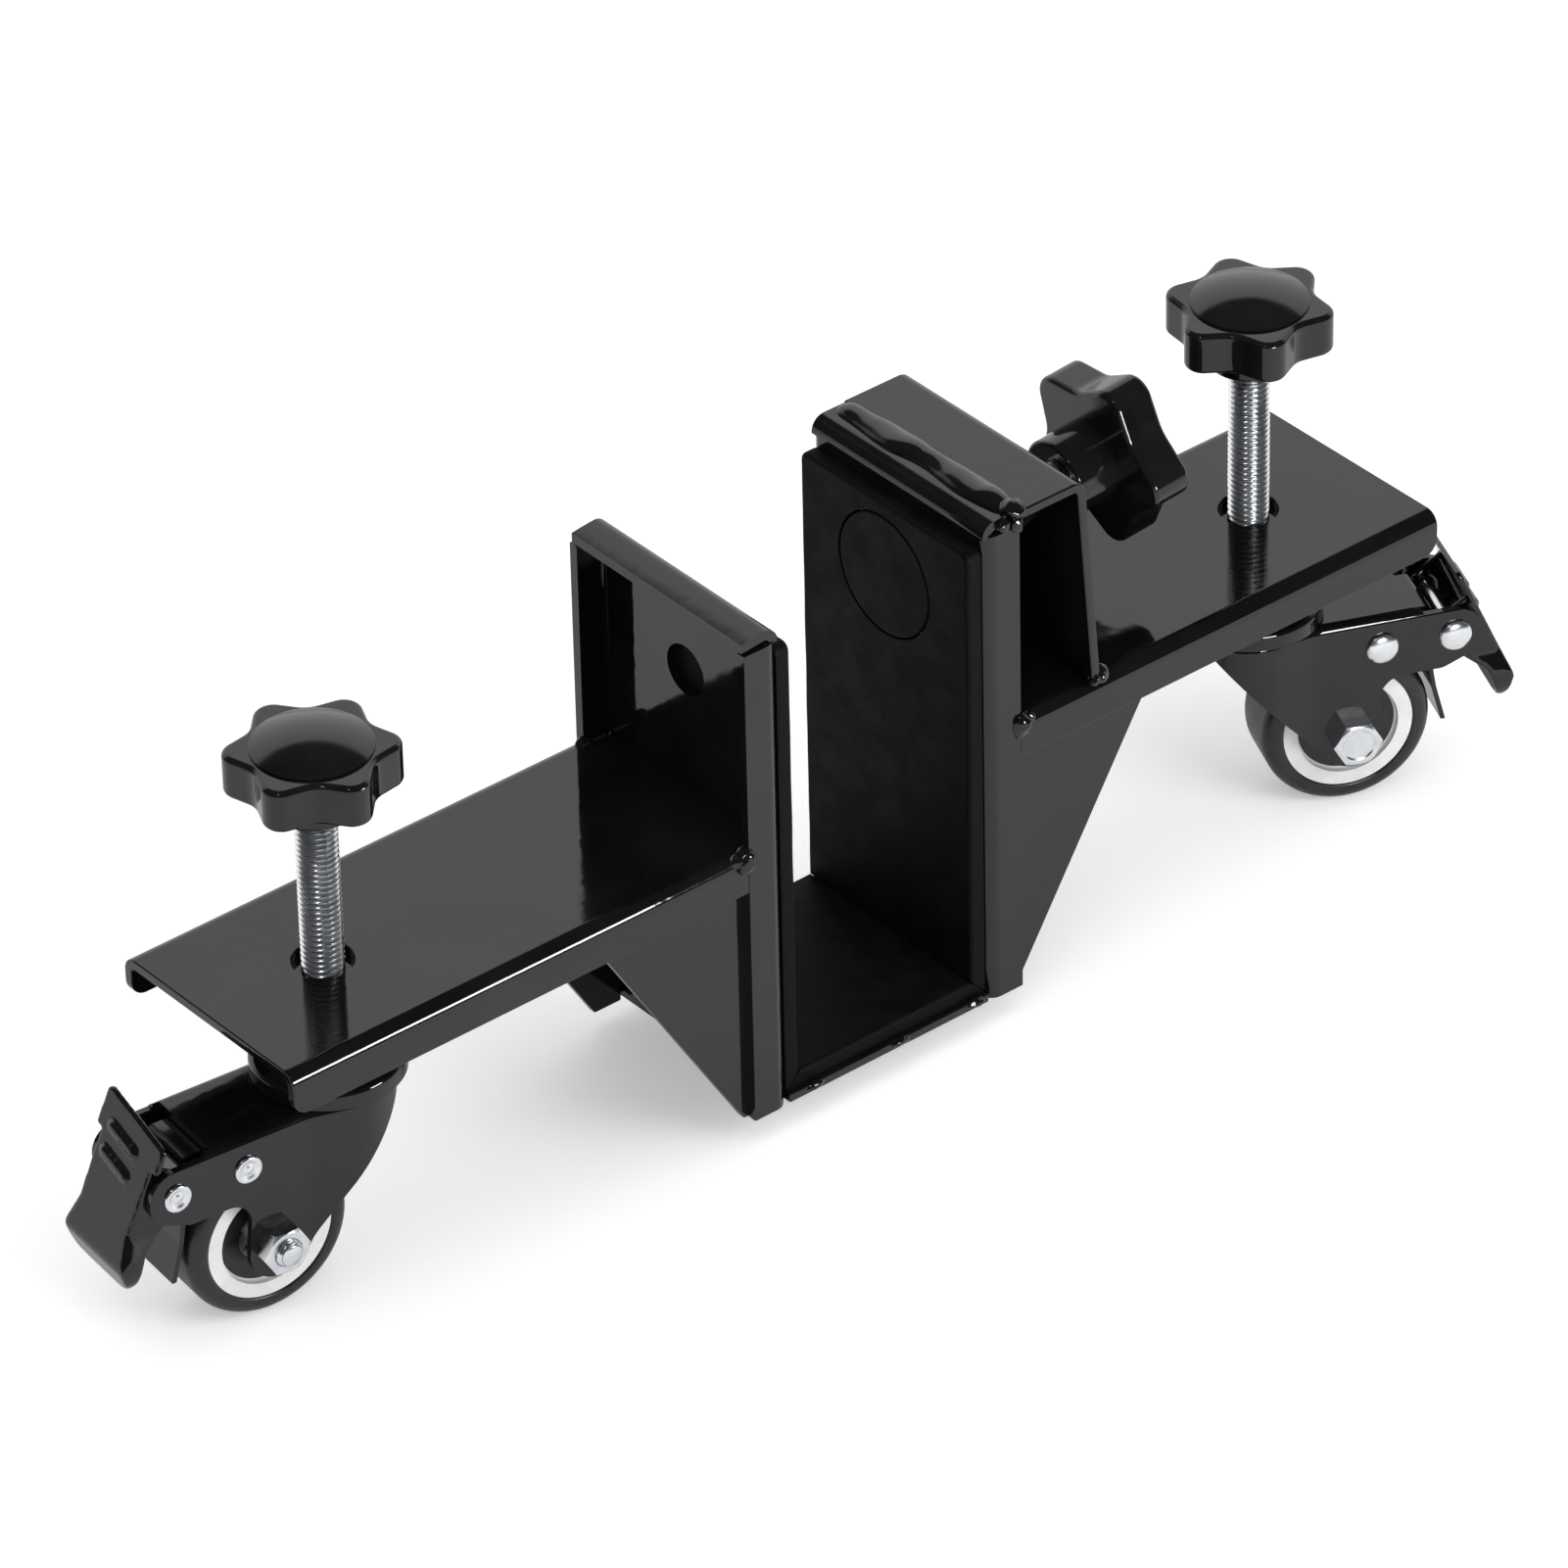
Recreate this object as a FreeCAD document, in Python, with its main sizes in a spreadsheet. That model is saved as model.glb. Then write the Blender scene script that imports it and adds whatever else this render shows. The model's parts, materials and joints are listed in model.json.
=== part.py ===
import FreeCAD, Part
import math
import os
import re
import Sketcher

# A door dolly: two folded steel uprights hold a door between rubber pads, a clamp screw presses a disc
# against it, and a braked caster under each arm is raised and lowered by a knob on a threaded rod.
# Millimetres. X runs across the door, Y along it with the front at -Y, and Z up.
# The origin is the middle of the pad that the door stands on.

SIZES = [
    ("slot_width", 73, "between the slot faces of the two uprights"),
    ("frame_width", 75, "uprights and arms along the door"),
    ("steel", 3, "sheet of the welded frame"),
    ("bend", 4.5, "outer radius of a fold in that sheet"),
    ("upright_height", 160, "upright, foot to top"),
    ("upright_flange", 12.5, "depth of the upright's folded rim"),
    ("corner_relief", 1, "top rim stops this far short of each side"),
    ("arm_height", 83, "top of the arms above the seat"),
    ("arm_length", 157, "arm beyond the upright's rim"),
    ("arm_flange", 13.3, "depth of the arm's folded sides"),
    ("flange_corner", 5, "rounding of those sides at the arm's end"),
    ("arm_hole", 17.5, "hole in the arm round the lift screw"),
    ("screw_setback", 39, "lift screw in from the arm's end"),
    ("tongue_gap", 0.5, "arm's tongue clear of the folds in the upright"),
    ("gusset_reach", 49, "gusset along the arm beyond the rim"),
    ("gusset_nose", 1.5, "width of the gusset's lower tip"),
    ("pad", 5, "thickness of the rubber pads"),
    ("pad_setback", 1.5, "pads narrower than the frame, each side"),
    ("pad_drop", 8, "pad top below the upright's top"),
    ("pad_corner", 3, "corner radius of the pads"),
    ("bracket_reach", 24, "clamp bracket's top beyond the rim"),
    ("bracket_splay", 5.5, "bracket's foot further out than its top"),
    ("bead", 3.2, "radius of a weld bead"),
    ("bead_stop", 3.5, "beads end this far inside the sheet's edge"),
    ("disc_margin", 4, "pad above the opening round the clamp disc"),
    ("clamp_hole", 16, "clamp hole in the uprights"),
    ("bracket_hole", 15, "hole in the bracket round the clamp screw"),
    ("sleeve_radius", 10, "threaded sleeve in the bracket"),
    ("sleeve_gap", 1.2, "sleeve clear of the upright"),
    ("clamp_travel", 18, "travel of the pressure disc"),
    ("clamp_hub", 14.5, "length of the clamp knob's hub"),
    ("disc_radius", 19, "pressure disc"),
    ("disc_steel", 2, "steel of the pressure disc"),
    ("disc_gap", 1, "pad clear of the disc's edge"),
    ("disc_rest", 0.3, "disc clear of the upright when drawn back"),
    ("foot_pin", 3, "radius of the pin that carries the disc"),
    ("foot_head", 4.5, "radius of that pin's riveted head"),
    ("foot_head_height", 0.7, "height of that head"),
    ("foot_gap", 0.5, "play between disc, head and shoulder"),
    ("screw_radius", 6, "lift and clamp screws"),
    ("screw_chamfer", 1, "chamfer of a screw's end"),
    ("run_gap", 0.06, "clearance of a shaft in its hole"),
    ("seat_gap", 0.03, "clearance of a rod in its fixed seat"),
    ("stop_gap", 0.5, "gap left at the end of a screw's travel"),
    ("nut_radius", 12.5, "lift nut across corners, halved"),
    ("nut_height", 10, "lift nut"),
    ("lift_travel", 45, "travel of each lift screw"),
    ("knob_clear", 5.2, "knob above the arm at full lift"),
    ("lift_hub", 7, "length of a lift knob's hub"),
    ("knob_radius", 24.2, "lift knob over its lobes"),
    ("knob_lobe", 5.5, "radius of a lift knob's lobe"),
    ("knob_waist", 19.2, "lift knob at the hollows"),
    ("knob_hollow", 8, "radius of a hollow"),
    ("clamp_knob_radius", 26.7, "clamp knob over its lobes"),
    ("clamp_knob_lobe", 6.5, "radius of the clamp knob's lobe"),
    ("clamp_knob_waist", 20.6, "clamp knob at the hollows"),
    ("clamp_knob_hollow", 10, "radius of a hollow in the clamp knob"),
    ("knob_thick", 13, "star knob"),
    ("knob_round", 1.6, "rounding of the knob's rims"),
    ("hub_radius", 12, "star knob's hub"),
    ("hub_round", 1, "rounding of the hub's end"),
    ("cap_radius", 17, "domed cap in the knob"),
    ("cap_step", 0.6, "cap's edge above the knob"),
    ("cap_dome", 3.4, "rise of the cap's dome"),
    ("screw_grip", 9, "screw inside the knob's star"),
    ("left_knob_angle", 26, "lobe angle of the left knob"),
    ("right_knob_angle", 4.5, "lobe angle of the right knob"),
    ("clamp_knob_angle", 55.8, "lobe angle of the clamp knob"),
    ("left_swivel_angle", 174.3, "way the left caster trails"),
    ("right_swivel_angle", -23.3, "way the right caster trails"),
    ("race_gap", 14, "race below the lift nut"),
    ("race_radius", 21.8, "dished race on the screw"),
    ("race_skirt", 2, "thickness of the race's skirt"),
    ("skirt_clear", 0.8, "race's skirt above the fork's top plate"),
    ("race_flat", 12, "radius of the race's flat crown"),
    ("ball_drop", 5.5, "ball centres below the race's crown"),
    ("ball_radius", 2.5, "swivel balls"),
    ("ball_pitch", 13.5, "radius of the ring of balls"),
    ("ball_space", 0.8, "race and fork clear of the balls' middle"),
    ("track_gap", 0.3, "ball tracks larger than the balls"),
    ("kingpin_radius", 5, "kingpin"),
    ("kingpin_head", 9, "radius of the kingpin's head"),
    ("kingpin_flange", 3, "thickness of the kingpin's head"),
    ("head_clear", 2, "recess in the fork round that head"),
    ("fork_height", 41.3, "axle below the fork's crown"),
    ("fork_trail", 27.3, "axle behind the kingpin"),
    ("fork_gap", 26, "between the fork's cheeks"),
    ("fork_sheet", 2.2, "sheet of the fork"),
    ("fork_round", 3, "rounding of the fork's top edge"),
    ("crown_radius", 18.5, "fork round the kingpin"),
    ("crown_sheet", 3, "raised seat of the fork's ball track"),
    ("seat_radius", 16.8, "that seat"),
    ("seat_round", 1.5, "rounding of that seat's edge"),
    ("cheek_blend", 20, "radius where the crown runs into the cheeks"),
    ("blend_reach", 18, "where the cheeks are straight, behind the kingpin"),
    ("cheek_rise", 39.1, "fork's top plate above the axle"),
    ("cheek_lead", 17.5, "cheek's leading corner before the kingpin"),
    ("lead_drop", 2, "that corner below the top plate"),
    ("plate_end", 46, "end of the fork's top plate behind the kingpin"),
    ("plate_step", 2.5, "cheek's step down behind that"),
    ("cheek_boss", 9, "radius of the cheek round the axle"),
    ("boss_drop", 1.5, "middle of that radius below the axle"),
    ("rivet_rise", 28.9, "brake rivets above the axle"),
    ("shoe_rivet", 35.7, "inner rivet behind the kingpin"),
    ("pedal_rivet", 58, "outer rivet behind the kingpin"),
    ("rivet_boss", 8.5, "radius of the cheek round the outer rivet"),
    ("cheek_hollow", 7, "radius of the hollow behind the wheel's hub"),
    ("hollow_shift", 1, "hollow nearer the axle than its radius"),
    ("cheek_tab", 4.5, "radius of the tab below the outer rivet"),
    ("rivet_radius", 2.5, "brake rivets"),
    ("rivet_head", 5, "radius of a rivet's domed head"),
    ("rivet_dome", 2.4, "height of that head"),
    ("rivet_tail", 4.2, "radius of a rivet's flattened end"),
    ("rivet_tail_height", 1, "height of that end"),
    ("wheel_radius", 25.4, "wheel"),
    ("wheel_width", 22, "tread"),
    ("tread_round", 4, "shoulder of the tread"),
    ("tread_edge", 1, "rounding of the tread's inner edge"),
    ("core_radius", 19.6, "wheel's white core"),
    ("core_width", 21, "core"),
    ("core_step", 15.3, "radius of the recess in the core's face"),
    ("core_recess", 2, "depth of that recess"),
    ("bearing_radius", 13, "wheel bearings"),
    ("bearing_width", 7, "each bearing"),
    ("sleeve_wall", 1.5, "axle sleeve"),
    ("axle_radius", 4, "axle bolt"),
    ("bolt_head", 7.5, "bolt head across corners, halved"),
    ("bolt_head_height", 5.3, "bolt head"),
    ("axle_nut_height", 5, "axle nut"),
    ("bolt_end", 2, "bolt beyond its nut"),
    ("pedal_sheet", 1.8, "sheet of the brake pedal"),
    ("pedal_toe", 15.5, "half the pedal's width at the toe"),
    ("pedal_clearance", 0.3, "pedal clear of the cheeks"),
    ("pedal_ear", 6.3, "radius of the pedal's ears"),
    ("lip_out", 1.5, "pedal's lip beyond the outer rivet"),
    ("lip_up", 21, "pedal's lip above that rivet"),
    ("lip_slant", 4.5, "lip lower at one side"),
    ("lip_half", 15.5, "half the lip's width"),
    ("lip_round", 2, "rounding of the lip's corners"),
    ("ear_top", 11.5, "top of the folded sides above the rivet"),
    ("heel_out", 18.8, "crease at the pedal's toe beyond the rivet"),
    ("heel_down", 18.3, "that crease below the rivet"),
    ("tip_out", 15, "where the toe and the folded sides would meet, beyond the rivet"),
    ("tip_down", 30, "that point below the rivet"),
    ("toe_down", 26.5, "end of the toe below the rivet"),
    ("toe_corner", 6, "rounding of the toe's corners"),
    ("shin_out", 10.3, "hollow in the folded sides beyond the rivet"),
    ("shin_down", 15.5, "that hollow below the rivet"),
    ("shin_round", 5, "radius of that hollow"),
    ("throat_out", 5, "where the folded sides leave the ears, beyond the rivet"),
    ("throat_down", 11.5, "that corner below the rivet"),
    ("flare_down", 9, "where the pedal starts to widen, below the rivet"),
    ("flare_end", 17, "where it is widest, below the rivet"),
    ("flare_round", 5, "radius where it starts and stops widening"),
    ("rib_half", 6, "half the length of a rib on the pedal, between its round ends"),
    ("rib_radius", 1.3, "half a rib's width"),
    ("rib_height", 0.9, "rib above the plate"),
    ("rib_up", 12.5, "upper rib along the plate above the rivet"),
    ("rib_step", 7.5, "lower rib below the upper one"),
    ("rib_aside", 2.5, "ribs to one side of the pedal's middle"),
    ("shoe_width", 18, "brake shoe"),
    ("shoe_sheet", 1.5, "sheet of the brake shoe"),
    ("shoe_eye", 4.2, "radius of the shoe's eye"),
    ("shoe_neck", 4.9, "where the shoe leaves its eye, beyond the inner rivet"),
    ("shoe_rise", 7.3, "top of the shoe above that rivet"),
    ("shoe_back_out", 17.8, "shoe's back beyond the rivet"),
    ("shoe_back_round", 3, "radius where the back turns down"),
    ("shoe_waist_out", 16.8, "shoe's waist beyond the rivet"),
    ("shoe_waist_down", 7.3, "waist below the rivet"),
    ("shoe_waist_round", 6, "radius of the waist"),
    ("shoe_heel_out", 19, "shoe's heel beyond the rivet"),
    ("shoe_heel_down", 21.3, "heel below the rivet"),
    ("shoe_heel_round", 9, "radius of the heel"),
    ("shoe_tip_out", 22, "shoe's tip beyond the rivet"),
    ("shoe_tip_down", 33.3, "tip below the rivet"),
]
NAMES = {name for name, _, _ in SIZES}

doc = FreeCAD.newDocument("DoorDolly")
sheet = doc.addObject("Spreadsheet::Sheet", "Sizes")
for row, (name, amount, note) in enumerate(SIZES, 1):
    sheet.set(f"A{row}", note)
    sheet.set(f"B{row}", str(amount))
    sheet.setAlias(f"B{row}", name)
doc.recompute()

# Places that several pieces share, as formulas of the sizes.
WEB = "(slot_width / 2)"
RIM = f"({WEB} + upright_flange)"
HALF = "(frame_width / 2)"
FOLD = "(bend - steel)"
FOOT = "(-pad - steel)"
TOP = f"({FOOT} + upright_height)"
ARM_UNDER = "(arm_height - steel)"
ARM_END = f"({RIM} + arm_length)"
SCREW_X = f"({ARM_END} - screw_setback)"
BRACKET_TOP = f"({RIM} + bracket_reach)"
BRACKET_FOOT = f"({BRACKET_TOP} + bracket_splay)"
CLAMP_Z = f"({TOP} - pad_drop - disc_margin - disc_gap - disc_radius)"
LEAN = f"atan(bracket_splay / ({TOP} - arm_height))"
CLAMP_X = f"({WEB} + steel / 2)"
WALL_OUT = f"(({BRACKET_FOOT} - {CLAMP_X}) * cos({LEAN}) + (arm_height - {CLAMP_Z}) * sin({LEAN}))"
WALL_IN = f"({WALL_OUT} - steel)"
CLAMP_KNOB = f"({WALL_OUT} + clamp_travel + stop_gap + clamp_hub)"
DISC_BACK = f"({WEB} - disc_rest)"
DISC_FRONT = f"({DISC_BACK} - disc_steel)"
PAD_FACE = f"({WEB} - pad)"
LIFT_KNOB = "(arm_height + lift_travel + knob_clear + lift_hub)"
RACE_TOP = f"({ARM_UNDER} - nut_height - race_gap)"
BALLS = f"({RACE_TOP} - ball_drop)"
RACE_FACE = f"({BALLS} + ball_space)"
CROWN_TOP = f"({BALLS} - ball_space)"
CROWN_UNDER = f"({CROWN_TOP} - crown_sheet)"
AXLE_Z = f"({CROWN_TOP} - fork_height)"
RIVET_Z = f"({AXLE_Z} + rivet_rise)"
CHEEK_TOP = f"({AXLE_Z} + cheek_rise)"
CHEEK_IN = "(fork_gap / 2)"
CHEEK_OUT = f"({CHEEK_IN} + fork_sheet)"
EAR_OUT = f"({CHEEK_IN} - pedal_clearance)"
BORE = "(screw_radius + run_gap)"
SEAT = "(screw_radius + seat_gap)"
SLEEVE = "(axle_radius + sleeve_wall)"
PEDAL_SLOPE = "((heel_out - lip_out) / (lip_up + heel_down))"
PEDAL_TILT = f"atan({PEDAL_SLOPE})"
PEDAL_X = f"(pedal_rivet + lip_out + lip_up * {PEDAL_SLOPE})"

parts = []


def formula(text):
    """The text with every size read from the sheet."""
    return re.sub(r"[a-z_]+", lambda word: f"Sizes.{word[0]}" if word[0] in NAMES else word[0], text)


def number(text):
    """What a formula comes to now."""
    result = sheet.evalExpression(formula(text))
    return float(getattr(result, "Value", result))


def bind(thing, prop, text):
    thing.setExpression(prop, formula(text))


def place(thing, x="0", y="0", z="0", angle="0", axis=(0, 0, 1)):
    """Puts a piece at a point, turned about an axis by an angle in degrees."""
    thing.Placement = FreeCAD.Placement(FreeCAD.Vector(), FreeCAD.Rotation(FreeCAD.Vector(*axis), number(angle)))
    for letter, text in zip("xyz", (x, y, z)):
        bind(thing, f"Placement.Base.{letter}", text)
    bind(thing, "Placement.Rotation.Angle", angle)
    return thing


def keep(thing, label):
    """Makes a finished piece a sub-part of its own."""
    thing.Label = label
    parts.append(thing)
    return thing


def new_body(name):
    return doc.addObject("PartDesign::Body", name)


def draw(body, plane, x="0", y="0", z="0", tilt=None):
    """An empty sketch on one of the body's own planes, moved by x and y in it and z out of it, and tipped
    back about its own x axis by a tilt."""
    sketch = body.newObject("Sketcher::SketchObject", "Sketch")
    base = [feature for feature in body.Origin.OriginFeatures if feature.Role == plane][0]
    sketch.AttachmentSupport = [(base, "")]
    sketch.MapMode = "FlatFace"
    if tilt:
        back = FreeCAD.Rotation(FreeCAD.Vector(-1, 0, 0), number(tilt))
        sketch.AttachmentOffset = FreeCAD.Placement(FreeCAD.Vector(), back)
        bind(sketch, "AttachmentOffset.Rotation.Angle", tilt)
    for letter, text in zip("xyz", (x, y, z)):
        bind(sketch, f"AttachmentOffset.Base.{letter}", text)
    return sketch


def measure(sketch, kind, text, *what):
    """A dimension in a sketch, held by a formula."""
    index = sketch.addConstraint(Sketcher.Constraint(kind, *what, number(text)))
    bind(sketch, f"Constraints[{index}]", text)


def pin_down(sketch, geometry, end, x, y):
    measure(sketch, "DistanceX", x, -1, 1, geometry, end)
    measure(sketch, "DistanceY", y, -1, 1, geometry, end)


def circle(sketch, x, y, radius):
    middle = FreeCAD.Vector(number(x), number(y), 0)
    index = sketch.addGeometry(Part.Circle(middle, FreeCAD.Vector(0, 0, 1), number(radius)), False)
    pin_down(sketch, index, 3, x, y)
    measure(sketch, "Radius", radius, index)


def arc_between(middle, start, end):
    """An arc, counter-clockwise, about a middle."""
    whole = Part.Circle(middle, FreeCAD.Vector(0, 0, 1), (start - middle).Length)
    first = math.atan2(start.y - middle.y, start.x - middle.x)
    last = math.atan2(end.y - middle.y, end.x - middle.x)
    return Part.ArcOfCircle(whole, first, last if last > first else last + 2 * math.pi)


def outline(sketch, nodes, bulges=None):
    """A closed outline, counter-clockwise. A node is a corner (x, y), a rounded corner (x, y, radius), or
    a turn about a middle (x, y, radius, "round") or (x, y, radius, "hollow"). A bulge gives the radius of
    the outward arc that runs from the node of its number to the next, in place of a straight line."""
    bulges = bulges or {}
    count = len(nodes)
    points = [FreeCAD.Vector(number(node[0]), number(node[1]), 0) for node in nodes]
    radii = [number(node[2]) if len(node) > 2 else 0.0 for node in nodes]
    turning = [{"round": 1, "hollow": -1}[node[3]] if len(node) > 3 else 0 for node in nodes]
    starts, ends, headings = [], [], []
    for here in range(count):
        there = (here + 1) % count
        leave, arrive = turning[here] * radii[here], turning[there] * radii[there]
        step = points[there] - points[here]
        heading = math.atan2(step.y, step.x) - math.asin((arrive - leave) / step.Length)
        left = FreeCAD.Vector(-math.sin(heading), math.cos(heading), 0)
        starts.append(points[here] - left * leave)
        ends.append(points[there] - left * arrive)
        headings.append(heading)
    middles = list(points)
    senses = list(turning)
    for here in range(count):
        if radii[here] and not turning[here]:
            before = headings[here - 1]
            swing = math.remainder(headings[here] - before, 2 * math.pi)
            senses[here] = 1 if swing > 0 else -1
            back = radii[here] * math.tan(abs(swing) / 2)
            ends[here - 1] = points[here] - FreeCAD.Vector(math.cos(before), math.sin(before), 0) * back
            ahead = FreeCAD.Vector(math.cos(headings[here]), math.sin(headings[here]), 0)
            starts[here] = points[here] + ahead * back
            side = FreeCAD.Vector(-math.sin(before), math.cos(before), 0) * senses[here]
            middles[here] = ends[here - 1] + side * radii[here]
    runs = []
    for here in range(count):
        if here in bulges:
            half = (ends[here] - starts[here]) * 0.5
            deep = math.sqrt(number(bulges[here]) ** 2 - half.Length ** 2)
            across = FreeCAD.Vector(-half.y, half.x, 0).normalize() * deep
            run = arc_between(starts[here] + half + across, starts[here], ends[here])
        else:
            run = Part.LineSegment(starts[here], ends[here])
        runs.append(sketch.addGeometry(run, False))
    for here, text in bulges.items():
        measure(sketch, "Radius", text, runs[here])
    for here, node in enumerate(nodes):
        before, after = runs[here - 1], runs[here]
        if not radii[here]:
            sketch.addConstraint(Sketcher.Constraint("Coincident", before, 2, after, 1))
            pin_down(sketch, after, 1, node[0], node[1])
            continue
        near, far = (ends[here - 1], starts[here]) if senses[here] > 0 else (starts[here], ends[here - 1])
        first, last = (1, 2) if senses[here] > 0 else (2, 1)
        arc = sketch.addGeometry(arc_between(middles[here], near, far), False)
        sketch.addConstraint(Sketcher.Constraint("Tangent", before, 2, arc, first))
        sketch.addConstraint(Sketcher.Constraint("Tangent", arc, last, after, 1))
        measure(sketch, "Radius", node[2], arc)
        if turning[here]:
            pin_down(sketch, arc, 3, node[0], node[1])
        else:
            corner = sketch.addGeometry(Part.Point(points[here]), True)
            sketch.addConstraint(Sketcher.Constraint("PointOnObject", corner, 1, before))
            sketch.addConstraint(Sketcher.Constraint("PointOnObject", corner, 1, after))
            pin_down(sketch, corner, 1, node[0], node[1])


def pad(body, sketch, length, both=False, back=False):
    feature = body.newObject("PartDesign::Pad", "Pad")
    feature.Profile = sketch
    feature.SideType = "Symmetric" if both else "One side"
    feature.Reversed = back
    bind(feature, "Length", length)
    return feature


def pocket(body, sketch, length=None, back=False):
    """A cut into the body, or right through it both ways."""
    feature = body.newObject("PartDesign::Pocket", "Pocket")
    feature.Profile = sketch
    feature.Reversed = back
    if length is None:
        feature.SideType = "Symmetric"
        feature.Type = "ThroughAll"
    else:
        bind(feature, "Length", length)
    return feature


def turn(body, sketch, kind="PartDesign::Revolution"):
    """Turns a sketch about its own upright axis, to add or with a Groove to take away."""
    feature = body.newObject(kind, "Turned")
    feature.Profile = sketch
    feature.ReferenceAxis = (sketch, ["V_Axis"])
    feature.Angle = 360
    return feature


def round_rims(body, feature, heights, radius):
    """Rounds the edges of the flat faces at these heights."""
    doc.recompute()
    faces = []
    for index, face in enumerate(feature.Shape.Faces, 1):
        box = face.BoundBox
        if box.ZLength < 1e-6 and any(abs(box.ZMin - number(height)) < 1e-6 for height in heights):
            faces.append(f"Face{index}")
    rounding = body.newObject("PartDesign::Fillet", "Rounding")
    rounding.Base = (feature, faces)
    bind(rounding, "Radius", radius)


def primitive(kind, name, **sizes):
    thing = doc.addObject(kind, name)
    for prop, text in sizes.items():
        bind(thing, prop, text)
    return thing


def boolean(kind, name, base, tool):
    thing = doc.addObject(kind, name)
    thing.Base = base
    thing.Tool = tool
    return thing


def group(name, members):
    thing = doc.addObject("Part::Compound", name)
    thing.Links = members
    return thing


def hexagon(x, y, radius):
    return [(f"{x} + {radius} * cos({60 * side})", f"{y} + {radius} * sin({60 * side})") for side in range(6)]


def facing(side):
    """Left pieces are the right ones turned half round."""
    return "180" if side == "left" else "0"


def upright(side):
    """A pan folded from sheet: a web with rims turned away from the door at both sides and the top."""
    body = new_body(f"{side}_upright")
    plan = draw(body, "XY_Plane", z=FOOT)
    outline(plan, [
        (WEB, f"-{HALF}", "bend"), (RIM, f"-{HALF}"),
        (RIM, f"-{HALF} + steel"), (f"{WEB} + steel", f"-{HALF} + steel", FOLD),
        (f"{WEB} + steel", f"{HALF} - steel", FOLD), (RIM, f"{HALF} - steel"),
        (RIM, HALF), (WEB, HALF, "bend"),
    ])
    pad(body, plan, f"upright_height - bend")
    profile = draw(body, "XZ_Plane")
    seam = f"{TOP} - bend - corner_relief / 2"
    outline(profile, [
        (WEB, seam), (f"{WEB} + steel", seam), (f"{WEB} + steel", f"{TOP} - steel", FOLD),
        (RIM, f"{TOP} - steel"), (RIM, TOP), (WEB, TOP, "bend"),
    ])
    pad(body, profile, "frame_width - 2 * corner_relief", both=True)
    hole = draw(body, "YZ_Plane")
    circle(hole, "0", CLAMP_Z, "clamp_hole / 2")
    pocket(body, hole)
    keep(place(body, angle=facing(side)), f"{side}_upright")


def arm(side):
    """A shallow channel, open below, with a tongue between the upright's rims and a hole for the screw."""
    body = new_body(f"{side}_arm")
    section = draw(body, "YZ_Plane", z=RIM)
    low = "arm_height - arm_flange"
    outline(section, [
        (f"-{HALF}", "arm_height", "bend"), (f"-{HALF}", low), (f"-{HALF} + steel", low),
        (f"-{HALF} + steel", ARM_UNDER, FOLD), (f"{HALF} - steel", ARM_UNDER, FOLD),
        (f"{HALF} - steel", low), (HALF, low), (HALF, "arm_height", "bend"),
    ])
    pad(body, section, "arm_length")
    tongue = draw(body, "XY_Plane", z=ARM_UNDER)
    reach = f"{HALF} - bend - tongue_gap"
    outline(tongue, [
        (f"{WEB} + steel", f"-({reach})"), (f"{RIM} + steel", f"-({reach})"),
        (f"{RIM} + steel", reach), (f"{WEB} + steel", reach),
    ])
    pad(body, tongue, "steel")
    hole = draw(body, "XY_Plane", z="arm_height")
    circle(hole, SCREW_X, "0", "arm_hole / 2")
    pocket(body, hole, "steel")
    corners = draw(body, "XZ_Plane")
    outline(corners, [
        (f"{ARM_END} + steel", f"{low} - steel"), (f"{ARM_END} + steel", f"{low} + 2 * flange_corner"),
        (ARM_END, f"{low} + 2 * flange_corner"),
        (f"{ARM_END} - flange_corner", f"{low} + flange_corner", "flange_corner", "hollow"),
        (f"{ARM_END} - 2 * flange_corner", low), (f"{ARM_END} - 2 * flange_corner", f"{low} - steel"),
    ])
    pocket(body, corners)
    keep(place(body, angle=facing(side)), f"{side}_arm")


def gusset(side, face, level):
    """A flat triangle inside the rims, under the arm and beside the web."""
    body = new_body(f"{side}_{face}_gusset")
    sketch = draw(body, "XZ_Plane")
    outline(sketch, [
        (f"{WEB} + bend", FOOT), (f"{RIM} + gusset_nose", FOOT),
        (f"{RIM} + gusset_reach", "arm_height - arm_flange"),
        (f"{RIM} + gusset_reach", "arm_height - bend"), (f"{WEB} + bend", "arm_height - bend"),
    ])
    pad(body, sketch, "steel", both=True)
    keep(place(body, y=level, angle=facing(side)), f"{side}_{face}_gusset")


def base_plate():
    plate = primitive("Part::Box", "base_plate", Length="slot_width", Width="frame_width", Height="steel")
    keep(place(plate, x=f"-{WEB}", y=f"-{HALF}", z=FOOT), "base_plate")


def side_pad(side, with_hole):
    """A rubber sheet glued on the web, mitred where it meets the floor pad."""
    body = new_body(f"{side}_pad")
    sketch = draw(body, "YZ_Plane", z=PAD_FACE)
    edge = f"({HALF} - pad_setback)"
    high = f"{TOP} - pad_drop"
    outline(sketch, [
        (f"-{edge}", "-pad"), (edge, "-pad"), (edge, high, "pad_corner"), (f"-{edge}", high, "pad_corner"),
    ])
    if with_hole:
        circle(sketch, "0", CLAMP_Z, "disc_radius + disc_gap")
    pad(body, sketch, "pad")
    mitre = draw(body, "XZ_Plane")
    outline(mitre, [(PAD_FACE, "-pad"), (WEB, "-pad"), (PAD_FACE, "0")])
    pocket(body, mitre)
    keep(place(body, angle=facing(side)), f"{side}_pad")


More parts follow.
